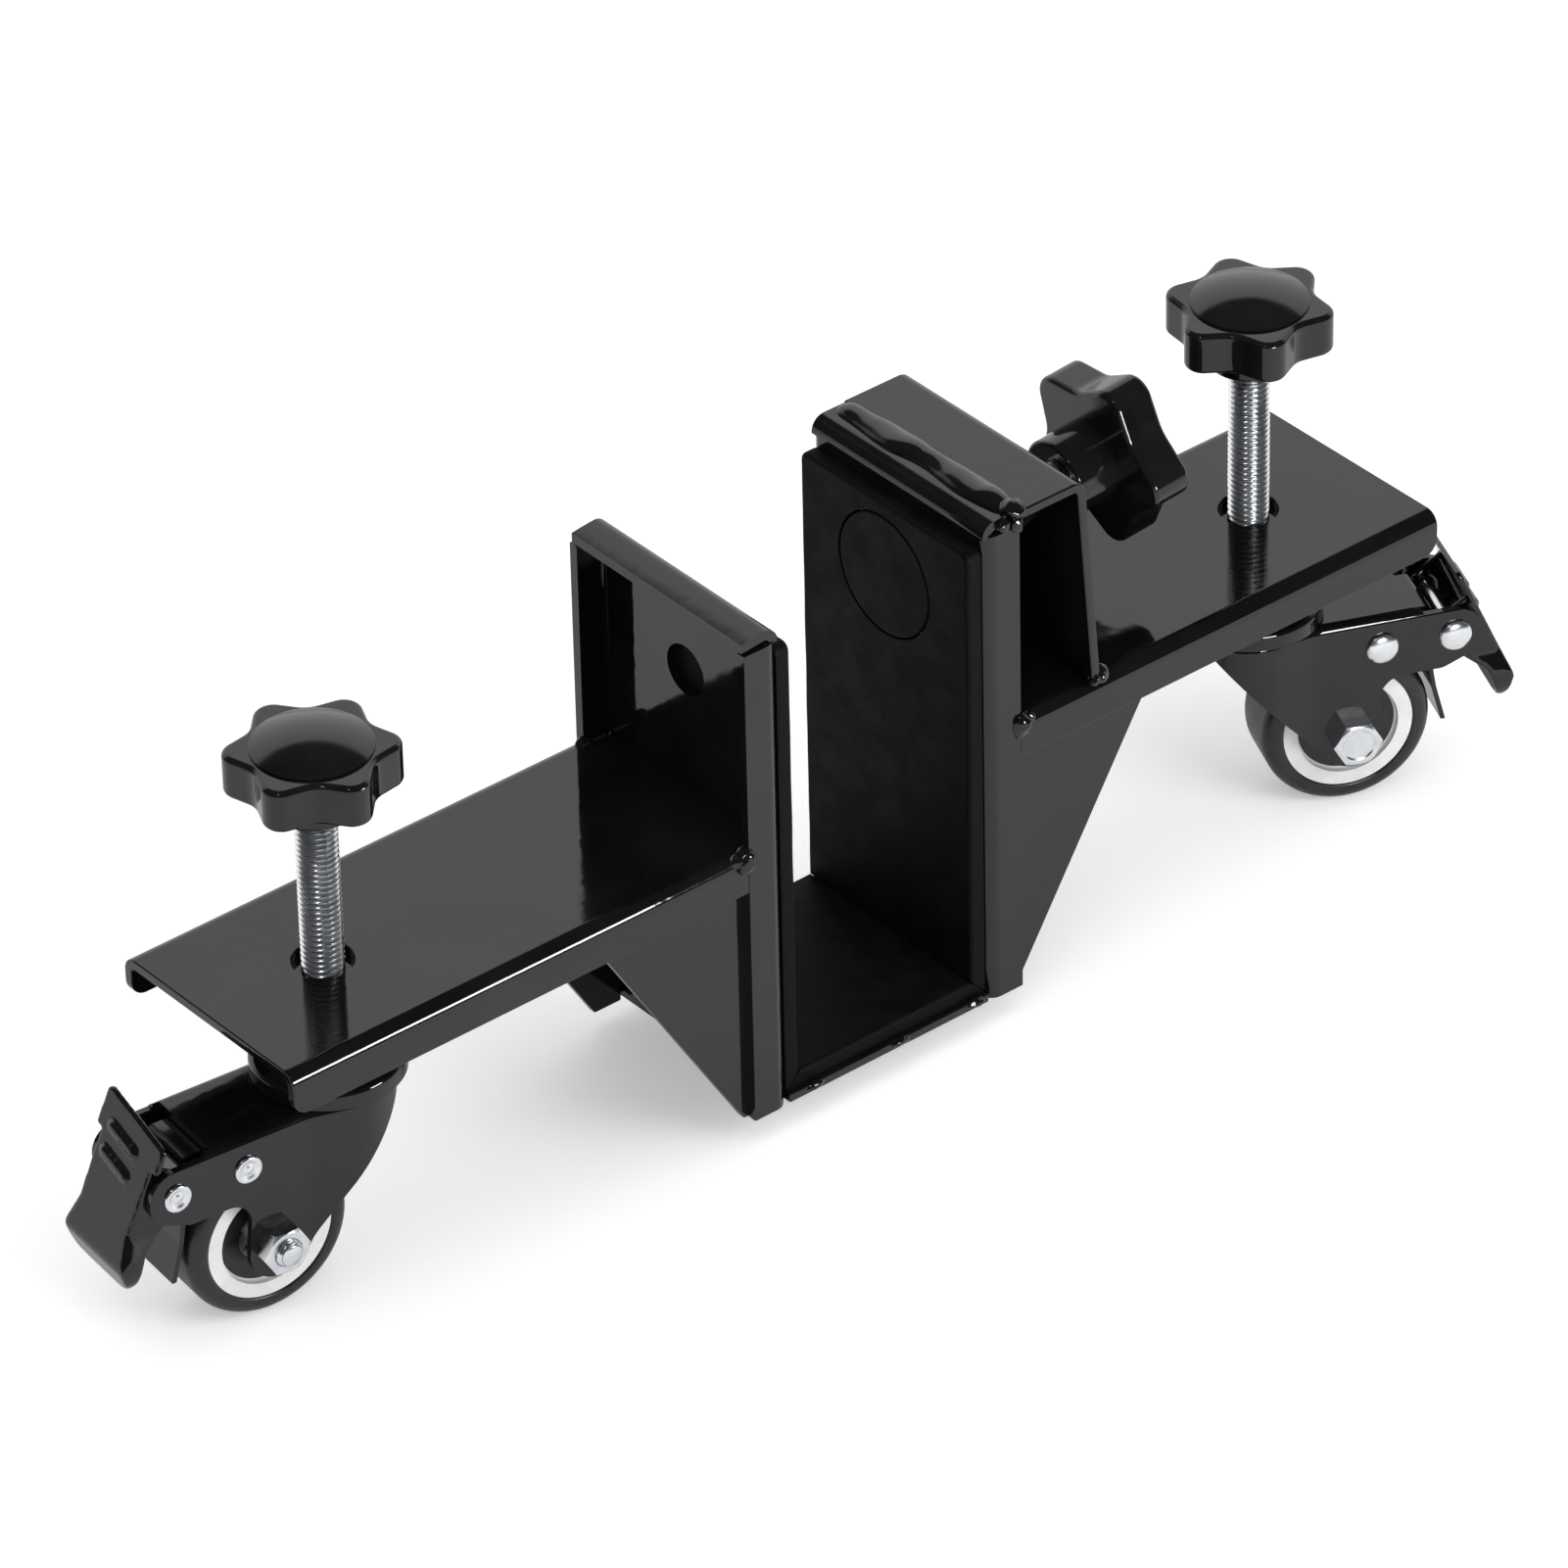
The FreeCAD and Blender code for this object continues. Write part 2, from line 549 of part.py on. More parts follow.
def floor_pad():
    body = new_body("floor_pad")
    sketch = draw(body, "XZ_Plane")
    outline(sketch, [(f"-{WEB}", "-pad"), (WEB, "-pad"), (PAD_FACE, "0"), (f"-{PAD_FACE}", "0")])
    pad(body, sketch, "frame_width - 2 * pad_setback", both=True)
    keep(body, "floor_pad")


def clamp_bracket():
    """A folded plate from the upright's top rim down to the arm, its wall leaning out."""
    body = new_body("clamp_bracket")
    profile = draw(body, "XZ_Plane")
    across = f"steel / cos({LEAN})"
    outline(profile, [
        (RIM, f"{TOP} - steel"),
        (f"{BRACKET_TOP} + steel * tan({LEAN}) - {across}", f"{TOP} - steel", FOLD),
        (f"{BRACKET_FOOT} - {across}", "arm_height"), (BRACKET_FOOT, "arm_height"),
        (BRACKET_TOP, TOP, "bend"), (RIM, TOP),
    ])
    pad(body, profile, "frame_width", both=True)
    hole = draw(body, "YZ_Plane")
    circle(hole, "0", f"{CLAMP_Z} + {WALL_OUT} * sin({LEAN})", "bracket_hole / 2")
    pocket(body, hole)
    keep(body, "clamp_bracket")


def along_clamp(thing, start="0"):
    """Lays a piece made along Z on the clamp's axis, which is square to the bracket's leaning wall."""
    return place(
        thing, x=f"{CLAMP_X} + ({start}) * cos({LEAN})", z=f"{CLAMP_Z} + ({start}) * sin({LEAN})",
        angle=f"90 - {LEAN} / 1 deg", axis=(0, 1, 0),
    )


def clamp_sleeve():
    """A threaded sleeve welded inside the bracket."""
    body = new_body("clamp_sleeve")
    sketch = draw(body, "XY_Plane")
    circle(sketch, "0", "0", "sleeve_radius")
    circle(sketch, "0", "0", BORE)
    start = f"(steel / 2 + sleeve_radius * tan({LEAN}) + sleeve_gap)"
    pad(body, sketch, f"{WALL_IN} - {start}")
    keep(along_clamp(body, start), "clamp_sleeve")


def clamp_screw():
    """A threaded rod with a shouldered pin that is riveted over in the pressure disc."""
    body = new_body("clamp_screw")
    profile = draw(body, "XZ_Plane")
    shoulder = f"({DISC_BACK} - {CLAMP_X} + screw_radius * tan({LEAN}) + foot_gap)"
    neck = f"({DISC_FRONT} - {CLAMP_X} - foot_head * tan({LEAN}) - foot_gap)"
    end = f"{CLAMP_KNOB} + screw_grip"
    outline(profile, [
        ("0", f"{neck} - foot_head_height"), ("foot_head", f"{neck} - foot_head_height"), ("foot_head", neck),
        ("foot_pin", neck), ("foot_pin", shoulder), ("screw_radius", shoulder),
        ("screw_radius", f"{end} - screw_chamfer"), ("screw_radius - screw_chamfer", end), ("0", end),
    ])
    turn(body, profile)
    keep(along_clamp(body), "clamp_screw")


def pressure_disc():
    """A steel disc that hangs on the end of the clamp screw and stays square to the door."""
    body = new_body("disc_blank")
    sketch = draw(body, "YZ_Plane", z=DISC_FRONT)
    circle(sketch, "0", CLAMP_Z, "disc_radius")
    pad(body, sketch, "disc_steel")
    drill = primitive("Part::Cylinder", "disc_drill", Radius="foot_pin + run_gap", Height="4 * pad")
    along_clamp(drill, "-2 * pad")
    keep(boolean("Part::Cut", "pressure_disc", body, drill), "pressure_disc")


def disc_pad():
    """Rubber facing of the disc, level with the pad round it, hollow behind for the pin's head."""
    body = new_body("disc_pad")
    sketch = draw(body, "YZ_Plane", z=PAD_FACE)
    circle(sketch, "0", CLAMP_Z, "disc_radius")
    pad(body, sketch, f"{DISC_FRONT} - {PAD_FACE}")
    hollow = draw(body, "YZ_Plane", z=DISC_FRONT)
    circle(hollow, "0", CLAMP_Z, "foot_head + disc_gap")
    pocket(body, hollow, f"foot_head_height + 2 * foot_head * tan({LEAN}) + foot_gap")
    keep(body, "disc_pad")


def star_knob(label, kind, hub, lobes, turned):
    """A moulded star knob with a domed cap, on a hub with a bore for the screw."""
    body = new_body(label)
    star = draw(body, "XY_Plane")
    nodes = []
    for lobe in range(lobes):
        angle, between = f"({360 * lobe / lobes} + {turned})", f"({360 * (lobe + 0.5) / lobes} + {turned})"
        reach = f"({kind}_radius - {kind}_lobe)"
        nodes.append((f"{reach} * cos({angle})", f"{reach} * sin({angle})", f"{kind}_lobe", "round"))
        reach = f"({kind}_waist + {kind}_hollow)"
        nodes.append((f"{reach} * cos({between})", f"{reach} * sin({between})", f"{kind}_hollow", "hollow"))
    outline(star, nodes)
    blank = pad(body, star, "knob_thick")
    round_rims(body, blank, ("0", "knob_thick"), "knob_round")
    profile = draw(body, "XZ_Plane")
    outline(profile, [
        ("0", f"-{hub}"), ("hub_radius", f"-{hub}", "hub_round"), ("hub_radius", "knob_thick / 2"),
        ("cap_radius", "knob_thick / 2"), ("cap_radius", "knob_thick + cap_step"),
        ("0", "knob_thick + cap_step + cap_dome"),
    ], {4: "(cap_radius ^ 2 + cap_dome ^ 2) / (2 * cap_dome)"})
    turn(body, profile)
    bore = draw(body, "XY_Plane", z=f"-{hub}")
    circle(bore, "0", "0", SEAT)
    pocket(body, bore, f"{hub} + screw_grip", back=True)
    return keep(body, label)


def lift_nut(side, x):
    """A hexagon nut welded under the arm."""
    body = new_body(f"{side}_lift_nut")
    sketch = draw(body, "XY_Plane", z=f"{ARM_UNDER} - nut_height")
    outline(sketch, hexagon("0", "0", "nut_radius"))
    circle(sketch, "0", "0", BORE)
    pad(body, sketch, "nut_height")
    keep(place(body, x=x), f"{side}_lift_nut")


def lift_screw(side, x):
    """The threaded rod from the knob down to the race, with its ends chamfered."""
    body = new_body(f"{side}_lift_screw")
    profile = draw(body, "XZ_Plane")
    end = f"{LIFT_KNOB} + screw_grip"
    outline(profile, [
        ("0", RACE_FACE), ("screw_radius", RACE_FACE), ("screw_radius", f"{end} - screw_chamfer"),
        ("screw_radius - screw_chamfer", end), ("0", end),
    ])
    turn(body, profile)
    keep(place(body, x=x), f"{side}_lift_screw")


def upper_race(side, x):
    """A dished cap on the screw's end, with a ball track below and a skirt round the fork's crown."""
    body = new_body(f"{side}_upper_race")
    profile = draw(body, "XZ_Plane")
    edge = f"{CHEEK_TOP} + skirt_clear"
    outline(profile, [
        (SEAT, RACE_FACE), ("race_radius - race_skirt", RACE_FACE), ("race_radius - race_skirt", edge),
        ("race_radius", edge), ("race_radius", f"{RACE_FACE} + race_skirt", "race_skirt"),
        ("race_flat", RACE_TOP, "race_flat / 2"), (SEAT, RACE_TOP),
    ])
    turn(body, profile)
    track = draw(body, "XZ_Plane")
    circle(track, "ball_pitch", BALLS, "ball_radius + track_gap")
    turn(body, track, "PartDesign::Groove")
    keep(place(body, x=x), f"{side}_upper_race")


def swivel_balls(side, x, count=8):
    """The ring of balls that the fork turns on."""
    balls = []
    for index in range(count):
        angle = 360 / count * index
        ball = primitive("Part::Sphere", f"{side}_ball", Radius="ball_radius")
        balls.append(place(ball, f"ball_pitch * cos({angle})", f"ball_pitch * sin({angle})", BALLS))
    keep(place(group(f"{side}_swivel_balls", balls), x=x), f"{side}_swivel_balls")


def kingpin(side, x):
    """The headed pin that holds the fork up against the balls."""
    body = new_body(f"{side}_kingpin")
    profile = draw(body, "XZ_Plane")
    seat = f"({CROWN_UNDER} - track_gap)"
    outline(profile, [
        ("0", f"{seat} - kingpin_flange"), ("kingpin_head", f"{seat} - kingpin_flange", "kingpin_flange / 2"),
        ("kingpin_head", seat), ("kingpin_radius", seat), ("kingpin_radius", RACE_FACE), ("0", RACE_FACE),
    ])
    turn(body, profile)
    keep(place(body, x=x), f"{side}_kingpin")


def fork_plan(sketch, inset):
    """The fork from above, round about the kingpin and drawn in to straight cheeks behind it."""
    tail, edge, far = "pedal_rivet + 2 * rivet_boss", f"({CHEEK_OUT} - {inset})", f"({CHEEK_OUT} + cheek_blend)"
    blend = f"cheek_blend + {inset}"
    outline(sketch, [
        ("0", "0", f"crown_radius - {inset}", "round"), ("blend_reach", f"-{far}", blend, "hollow"),
        (tail, f"-{edge}"), (tail, edge), ("blend_reach", far, blend, "hollow"),
    ])


def fork(side, x, yaw):
    """A fork pressed from one sheet: a top plate with a raised ball track, folded down into two cheeks that
    carry the axle and the brake, and cut away behind the plate where the brake works."""
    body = new_body(f"{side}_fork")
    low = f"({AXLE_Z} - boss_drop - cheek_boss)"
    outside = draw(body, "XY_Plane", z=low)
    fork_plan(outside, "0")
    block = pad(body, outside, f"{CHEEK_TOP} - {low}")
    round_rims(body, block, (CHEEK_TOP,), "fork_round")
    inside = draw(body, "XY_Plane", z=low)
    fork_plan(inside, "fork_sheet")
    pocket(body, inside, f"{CHEEK_TOP} - fork_sheet - {low}", back=True)
    opening = draw(body, "XY_Plane", z=CHEEK_TOP)
    past = "pedal_rivet + 3 * rivet_boss"
    outline(opening, [
        ("plate_end", f"-{CHEEK_IN}"), (past, f"-{CHEEK_IN}"), (past, CHEEK_IN), ("plate_end", CHEEK_IN),
    ])
    pocket(body, opening, "2 * fork_sheet")
    trim = draw(body, "XZ_Plane")
    high, tab = f"{CHEEK_TOP} + fork_sheet", f"{RIVET_Z} - rivet_boss - cheek_tab / 2"
    outline(trim, [
        ("-2 * crown_radius", f"{low} - cheek_boss"), (past, f"{low} - cheek_boss"),
        (past, f"{high} + fork_sheet"), ("-2 * crown_radius", f"{high} + fork_sheet"),
    ])
    outline(trim, [
        ("-crown_radius - fork_sheet", high), ("-crown_radius - fork_sheet", f"{CHEEK_TOP} - lead_drop"),
        ("-cheek_lead", f"{CHEEK_TOP} - lead_drop"), ("fork_trail", f"{AXLE_Z} - boss_drop", "cheek_boss", "round"),
        ("fork_trail + cheek_boss + cheek_hollow - hollow_shift", f"{tab} - cheek_hollow", "cheek_hollow", "hollow"),
        ("pedal_rivet - cheek_tab", f"{tab} + cheek_tab", "cheek_tab", "round"),
        ("pedal_rivet", RIVET_Z, "rivet_boss", "round"),
        ("plate_end + plate_step", f"{RIVET_Z} + rivet_boss"), ("plate_end + plate_step / 2", high),
    ])
    pocket(body, trim)
    seat = draw(body, "XZ_Plane")
    outline(seat, [
        ("0", CROWN_UNDER), ("seat_radius", CROWN_UNDER), ("seat_radius", CROWN_TOP, "seat_round"), ("0", CROWN_TOP),
    ])
    turn(body, seat)
    track = draw(body, "XZ_Plane")
    circle(track, "ball_pitch", BALLS, "ball_radius + track_gap")
    turn(body, track, "PartDesign::Groove")
    recess = draw(body, "XY_Plane", z=CROWN_UNDER)
    circle(recess, "0", "0", "kingpin_head + head_clear")
    pocket(body, recess, "crown_sheet")
    bore = draw(body, "XY_Plane", z=CROWN_TOP)
    circle(bore, "0", "0", "kingpin_radius + run_gap")
    pocket(body, bore, "2 * crown_sheet")
    holes = draw(body, "XZ_Plane")
    circle(holes, "fork_trail", AXLE_Z, "axle_radius + seat_gap")
    circle(holes, "shoe_rivet", RIVET_Z, "rivet_radius + seat_gap")
    circle(holes, "pedal_rivet", RIVET_Z, "rivet_radius + seat_gap")
    pocket(body, holes)
    keep(place(body, x=x, angle=yaw), f"{side}_fork")


def wheel_ring(name, nodes):
    """A ring turned about the axle, from an outline of radius and place along the axle."""
    body = new_body(name)
    profile = draw(body, "XY_Plane", x="fork_trail", z=AXLE_Z)
    outline(profile, nodes)
    turn(body, profile)
    return body


def wheel(side, x, yaw):
    """Tread, core, a bearing at each side, and the sleeve that the bearings run on."""
    half, core = "(wheel_width / 2)", "(core_width / 2)"
    tyre = wheel_ring(f"{side}_tyre", [
        ("core_radius + seat_gap", f"-{half}", "tread_edge"), ("wheel_radius", f"-{half}", "tread_round"),
        ("wheel_radius", half, "tread_round"), ("core_radius + seat_gap", half, "tread_edge"),
    ])
    hub, socket = f"({core} - core_recess)", "bearing_radius + seat_gap"
    middle = wheel_ring(f"{side}_wheel_core", [
        (socket, f"-{hub}"), ("core_step", f"-{hub}"), ("core_step", f"-{core}"), ("core_radius", f"-{core}"),
        ("core_radius", core), ("core_step", core), ("core_step", hub), (socket, hub),
    ])
    bearings = []
    inner = f"({hub} - bearing_width)"
    for name, low, high in (("near", f"-{hub}", f"-{inner}"), ("far", inner, hub)):
        bearings.append(wheel_ring(f"{side}_{name}_bearing", [
            (f"{SLEEVE} + run_gap", low), ("bearing_radius", low), ("bearing_radius", high),
            (f"{SLEEVE} + run_gap", high),
        ]))
    sleeve = wheel_ring(f"{side}_axle_sleeve", [
        ("axle_radius + seat_gap", f"-{CHEEK_IN}"), (SLEEVE, f"-{CHEEK_IN}"), (SLEEVE, CHEEK_IN),
        ("axle_radius + seat_gap", CHEEK_IN),
    ])
    pair = group(f"{side}_wheel_bearings", bearings)
    for thing, name in ((tyre, "tyre"), (middle, "wheel_core"), (pair, "wheel_bearings"), (sleeve, "axle_sleeve")):
        keep(place(thing, x=x, angle=yaw), f"{side}_{name}")


def axle(side, x, yaw):
    """A hexagon bolt through both cheeks and a nut on its far end."""
    bolt = new_body(f"{side}_axle_bolt")
    head = draw(bolt, "XZ_Plane", z=CHEEK_OUT)
    outline(head, hexagon("fork_trail", AXLE_Z, "bolt_head"))
    pad(bolt, head, "bolt_head_height")
    shank = draw(bolt, "XZ_Plane", z=CHEEK_OUT)
    circle(shank, "fork_trail", AXLE_Z, "axle_radius")
    pad(bolt, shank, f"2 * {CHEEK_OUT} + axle_nut_height + bolt_end", back=True)
    keep(place(bolt, x=x, angle=yaw), f"{side}_axle_bolt")
    nut = new_body(f"{side}_axle_nut")
    sketch = draw(nut, "XZ_Plane", z=f"-{CHEEK_OUT}")
    outline(sketch, hexagon("fork_trail", AXLE_Z, "bolt_head"))
    circle(sketch, "fork_trail", AXLE_Z, "axle_radius + seat_gap")
    pad(nut, sketch, "axle_nut_height", back=True)
    keep(place(nut, x=x, angle=yaw), f"{side}_axle_nut")


def brake_rivets(side, x, yaw):
    """Two rivets across the fork, domed at one end and flattened at the other."""
    rivets = []
    for name, reach in (("shoe", "shoe_rivet"), ("pedal", "pedal_rivet")):
        body = new_body(f"{side}_{name}_pin")
        profile = draw(body, "XY_Plane", x=reach, z=RIVET_Z)
        outline(profile, [
            ("0", f"-{CHEEK_OUT} - rivet_dome"), ("rivet_head", f"-{CHEEK_OUT}"), ("rivet_radius", f"-{CHEEK_OUT}"),
            ("rivet_radius", CHEEK_OUT), ("rivet_tail", CHEEK_OUT),
            ("rivet_tail", f"{CHEEK_OUT} + rivet_tail_height"), ("0", f"{CHEEK_OUT} + rivet_tail_height"),
        ], {0: "(rivet_head ^ 2 + rivet_dome ^ 2) / (2 * rivet_dome)"})
        turn(body, profile)
        rivets.append(body)
    keep(place(group(f"{side}_brake_rivets", rivets), x=x, angle=yaw), f"{side}_brake_rivets")


def pedal_front(inset):
    """The pedal from the front, without its lip: straight between the cheeks and wider at the toe."""
    ear, toe, low = f"({EAR_OUT} - {inset})", f"(pedal_toe - {inset})", f"{RIVET_Z} - toe_down + {inset}"
    waist, wide, high = f"{RIVET_Z} - flare_down", f"{RIVET_Z} - flare_end", f"{RIVET_Z} + 2 * lip_up"
    corner = f"toe_corner - {inset}"
    return [
        (f"-{toe}", low, corner), (toe, low, corner), (toe, wide, "flare_round"), (ear, waist, "flare_round"),
        (ear, high), (f"-{ear}", high), (f"-{ear}", waist, "flare_round"), (f"-{toe}", wide, "flare_round"),
    ]


def brake_pedal(side, x, yaw):
    """A pressed pedal: a sloping plate with its sides folded in to two ears on the outer rivet, a wider lip
    above them, a toe turned under, and two ribs across the plate."""
    outside = new_body(f"{side}_pedal_outside")
    profile = draw(outside, "XZ_Plane")
    plate_top = f"{PEDAL_X} - ear_top * {PEDAL_SLOPE}"
    outline(profile, [
        ("pedal_rivet", RIVET_Z, "pedal_ear", "round"), ("pedal_rivet + throat_out", f"{RIVET_Z} - throat_down"),
        ("pedal_rivet + shin_out", f"{RIVET_Z} - shin_down", "shin_round"),
        ("pedal_rivet + tip_out", f"{RIVET_Z} - tip_down"), ("pedal_rivet + heel_out", f"{RIVET_Z} - heel_down"),
        (plate_top, f"{RIVET_Z} + ear_top"),
    ])
    pad(outside, profile, "2 * pedal_toe", both=True)
    trim = draw(outside, "YZ_Plane")
    far, deep, tall = "2 * pedal_toe", f"{RIVET_Z} - 2 * tip_down", f"{RIVET_Z} + 3 * lip_up"
    outline(trim, [(f"-{far}", deep), (far, deep), (far, tall), (f"-{far}", tall)])
    outline(trim, pedal_front("0"))
    pocket(outside, trim)
    lip = draw(outside, "YZ_Plane", y=RIVET_Z, z=PEDAL_X, tilt=f"{PEDAL_TILT} / 1 deg")
    foot, head = f"(ear_top / cos({PEDAL_TILT}) - pedal_sheet)", f"lip_up / cos({PEDAL_TILT})"
    outline(lip, [
        ("-lip_half", foot), ("lip_half", foot), ("lip_half", f"{head} - lip_slant", "lip_round"),
        ("-lip_half", head, "lip_round"),
    ])
    pad(outside, lip, f"pedal_sheet * cos({PEDAL_TILT})", back=True)
    for level in ("rib_up", "rib_up - rib_step"):
        rib = draw(outside, "YZ_Plane", y=RIVET_Z, z=PEDAL_X, tilt=f"{PEDAL_TILT} / 1 deg")
        slant = "rib_half * lip_slant / (2 * lip_half)"
        outline(rib, [
            ("-rib_half - rib_aside", f"{level} + {slant}", "rib_radius", "round"),
            ("rib_half - rib_aside", f"{level} - {slant}", "rib_radius", "round"),
        ])
        pad(outside, rib, "rib_height")
    hole = draw(outside, "XZ_Plane")
    circle(hole, "pedal_rivet", RIVET_Z, "rivet_radius + run_gap")
    pocket(outside, hole)
    inside = new_body(f"{side}_pedal_inside")
    profile = draw(inside, "XZ_Plane")
    outline(profile, [
        ("pedal_rivet - 3 * pedal_ear", deep), ("pedal_rivet + tip_out - pedal_sheet", deep),
        ("pedal_rivet + tip_out - pedal_sheet", f"{RIVET_Z} - tip_down"),
        ("pedal_rivet + heel_out - pedal_sheet", f"{RIVET_Z} - heel_down"),
        (f"pedal_rivet + lip_out - pedal_sheet - lip_up * {PEDAL_SLOPE}", f"{RIVET_Z} + 2 * lip_up"),
        ("pedal_rivet - 3 * pedal_ear", f"{RIVET_Z} + 2 * lip_up"),
    ])
    pad(inside, profile, "2 * pedal_toe", both=True)
    trim = draw(inside, "YZ_Plane")
    outline(trim, [(f"-{far}", f"{deep} - tip_down"), (far, f"{deep} - tip_down"), (far, tall), (f"-{far}", tall)])
    outline(trim, pedal_front("pedal_sheet"))
    pocket(inside, trim)
    shell = boolean("Part::Cut", f"{side}_brake_pedal", outside, inside)
    keep(place(shell, x=x, angle=yaw), f"{side}_brake_pedal")


def brake_shoe(side, x, yaw):
    """A bent leaf on the inner rivet, over the wheel and down behind it to a point."""
    body = new_body(f"{side}_brake_shoe")
    sketch = draw(body, "XZ_Plane")

    def bend(reach, height, rounding=None, outer=True):
        across = f"shoe_rivet + {reach}" if outer else f"shoe_rivet + {reach} - shoe_sheet"
        node = (across, f"{RIVET_Z} + {height}", rounding)
        return node if rounding else node[:2]

    outline(sketch, [
        ("shoe_rivet", RIVET_Z, "shoe_eye", "round"),
        bend("shoe_neck", "shoe_rise - shoe_sheet", "shoe_sheet"),
        bend("shoe_back_out", "shoe_rise - shoe_sheet", "shoe_sheet", False),
        bend("shoe_waist_out", "-shoe_waist_down", "shoe_waist_round", False),
        bend("shoe_heel_out", "-shoe_heel_down", "shoe_heel_round", False),
        bend("shoe_tip_out", "-shoe_tip_down", None, False),
        bend("shoe_tip_out", "-shoe_tip_down"),
        bend("shoe_heel_out", "-shoe_heel_down", "shoe_heel_round"),
        bend("shoe_waist_out", "-shoe_waist_down", "shoe_waist_round"),
        bend("shoe_back_out", "shoe_rise", "shoe_back_round"),
        bend("shoe_sheet", "shoe_rise", "shoe_back_round"),
    ])
    circle(sketch, "shoe_rivet", RIVET_Z, "rivet_radius + run_gap")
    pad(body, sketch, "shoe_width", both=True)
    keep(place(body, x=x, angle=yaw), f"{side}_brake_shoe")


def weld_beads():
    """The beads that show: along the bracket's top and at its foot."""
    beads = []
    top = new_body("top_bead")
    sketch = draw(top, "XZ_Plane")
    outline(sketch, [(f"{RIM} - bead", TOP), (f"{RIM} + bead", TOP)], {1: "bead * 1.001"})
    pad(top, sketch, "frame_width - 2 * bead_stop", both=True)
    beads.append(top)
    foot = new_body("foot_bead")
    sketch = draw(foot, "XZ_Plane")
    outline(sketch, [
        (BRACKET_FOOT, "arm_height"), (f"{BRACKET_FOOT} + bead", "arm_height"),
        (f"{BRACKET_FOOT} - bead * tan({LEAN})", "arm_height + bead"),
    ])
    pad(foot, sketch, "frame_width - 4 * bead_stop", both=True)
    beads.append(foot)
    keep(group("weld_beads", beads), "weld_beads")


for side in ("left", "right"):
    upright(side)
    arm(side)
    side_pad(side, with_hole=side == "right")
    gusset(side, "front", f"1.5 * steel - {HALF}")
    gusset(side, "back", f"{HALF} - 1.5 * steel")
base_plate()
floor_pad()
clamp_bracket()
clamp_sleeve()
clamp_screw()
pressure_disc()
disc_pad()
along_clamp(star_knob("clamp_knob", "clamp_knob", "clamp_hub", 5, "clamp_knob_angle"), CLAMP_KNOB)
weld_beads()
for side, x, yaw in (("left", f"-{SCREW_X}", "left_swivel_angle"), ("right", SCREW_X, "right_swivel_angle")):
    place(star_knob(f"{side}_knob", "knob", "lift_hub", 6, f"{side}_knob_angle"), x=x, z=LIFT_KNOB)
    lift_nut(side, x)
    lift_screw(side, x)
    upper_race(side, x)
    swivel_balls(side, x)
    kingpin(side, x)
    fork(side, x, yaw)
    wheel(side, x, yaw)
    axle(side, x, yaw)
    brake_rivets(side, x, yaw)
    brake_pedal(side, x, yaw)
    brake_shoe(side, x, yaw)

doc.recompute()
for thing in doc.Objects:
    owner = thing.getParentGeoFeatureGroup()
    where = f"{thing.Label} of {owner.Label if owner else 'the document'}"
    if "Invalid" in thing.State or "Error" in thing.State:
        raise RuntimeError(f"{where} failed: {thing.State}")
    if thing.TypeId in ("PartDesign::Pocket", "PartDesign::Groove"):
        if thing.Shape.Volume > thing.BaseFeature.Shape.Volume - 1e-3:
            raise RuntimeError(f"{where} cuts nothing")
for part in parts:
    if part.Shape.isNull() or not part.Shape.isValid():
        raise RuntimeError(f"{part.Label} has no valid shape")
os.makedirs("parts", exist_ok=True)
for part in parts:
    part.Shape.exportStep(f"parts/{part.Label}.step")
    print(part.Label, len(part.Shape.Solids), round(part.Shape.Volume, 1))
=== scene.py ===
import json
import math

import bmesh
import bpy
from mathutils import Matrix, Vector, noise


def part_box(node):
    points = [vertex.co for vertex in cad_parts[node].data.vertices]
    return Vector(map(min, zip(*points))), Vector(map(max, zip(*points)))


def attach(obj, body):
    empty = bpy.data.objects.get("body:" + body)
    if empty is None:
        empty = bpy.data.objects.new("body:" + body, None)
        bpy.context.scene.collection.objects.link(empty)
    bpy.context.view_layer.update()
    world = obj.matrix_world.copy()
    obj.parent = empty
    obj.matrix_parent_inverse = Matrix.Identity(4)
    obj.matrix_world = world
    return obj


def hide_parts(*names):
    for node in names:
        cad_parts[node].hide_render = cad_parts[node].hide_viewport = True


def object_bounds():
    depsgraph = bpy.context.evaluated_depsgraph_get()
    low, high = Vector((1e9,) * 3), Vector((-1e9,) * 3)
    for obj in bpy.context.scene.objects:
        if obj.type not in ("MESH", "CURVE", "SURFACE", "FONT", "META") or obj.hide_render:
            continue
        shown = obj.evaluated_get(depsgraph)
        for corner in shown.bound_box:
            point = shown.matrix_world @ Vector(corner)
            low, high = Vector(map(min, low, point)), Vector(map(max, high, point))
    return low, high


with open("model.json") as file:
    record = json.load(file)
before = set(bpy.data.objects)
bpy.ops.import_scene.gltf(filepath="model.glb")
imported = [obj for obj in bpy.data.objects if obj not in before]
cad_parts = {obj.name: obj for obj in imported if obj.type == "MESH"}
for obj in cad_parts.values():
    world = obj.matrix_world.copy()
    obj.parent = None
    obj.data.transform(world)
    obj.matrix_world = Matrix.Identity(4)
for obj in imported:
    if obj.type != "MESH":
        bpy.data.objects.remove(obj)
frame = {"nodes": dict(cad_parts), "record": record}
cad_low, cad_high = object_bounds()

# Looks of the door dolly. Lengths are millimetres until a mesh is made. Lamps are placed in metres.
MM = 0.001
UP = Vector((0, 0, 1))
EAST = Vector((1, 0, 0))
NORTH = Vector((0, 1, 0))
SIDES = ("left", "right")
nodes = frame["nodes"]
behaviour = frame["record"]["behaviour"]
body_of_node = {}
for body, members in behaviour["bodies"].items():
    for node in members:
        body_of_node[node] = body


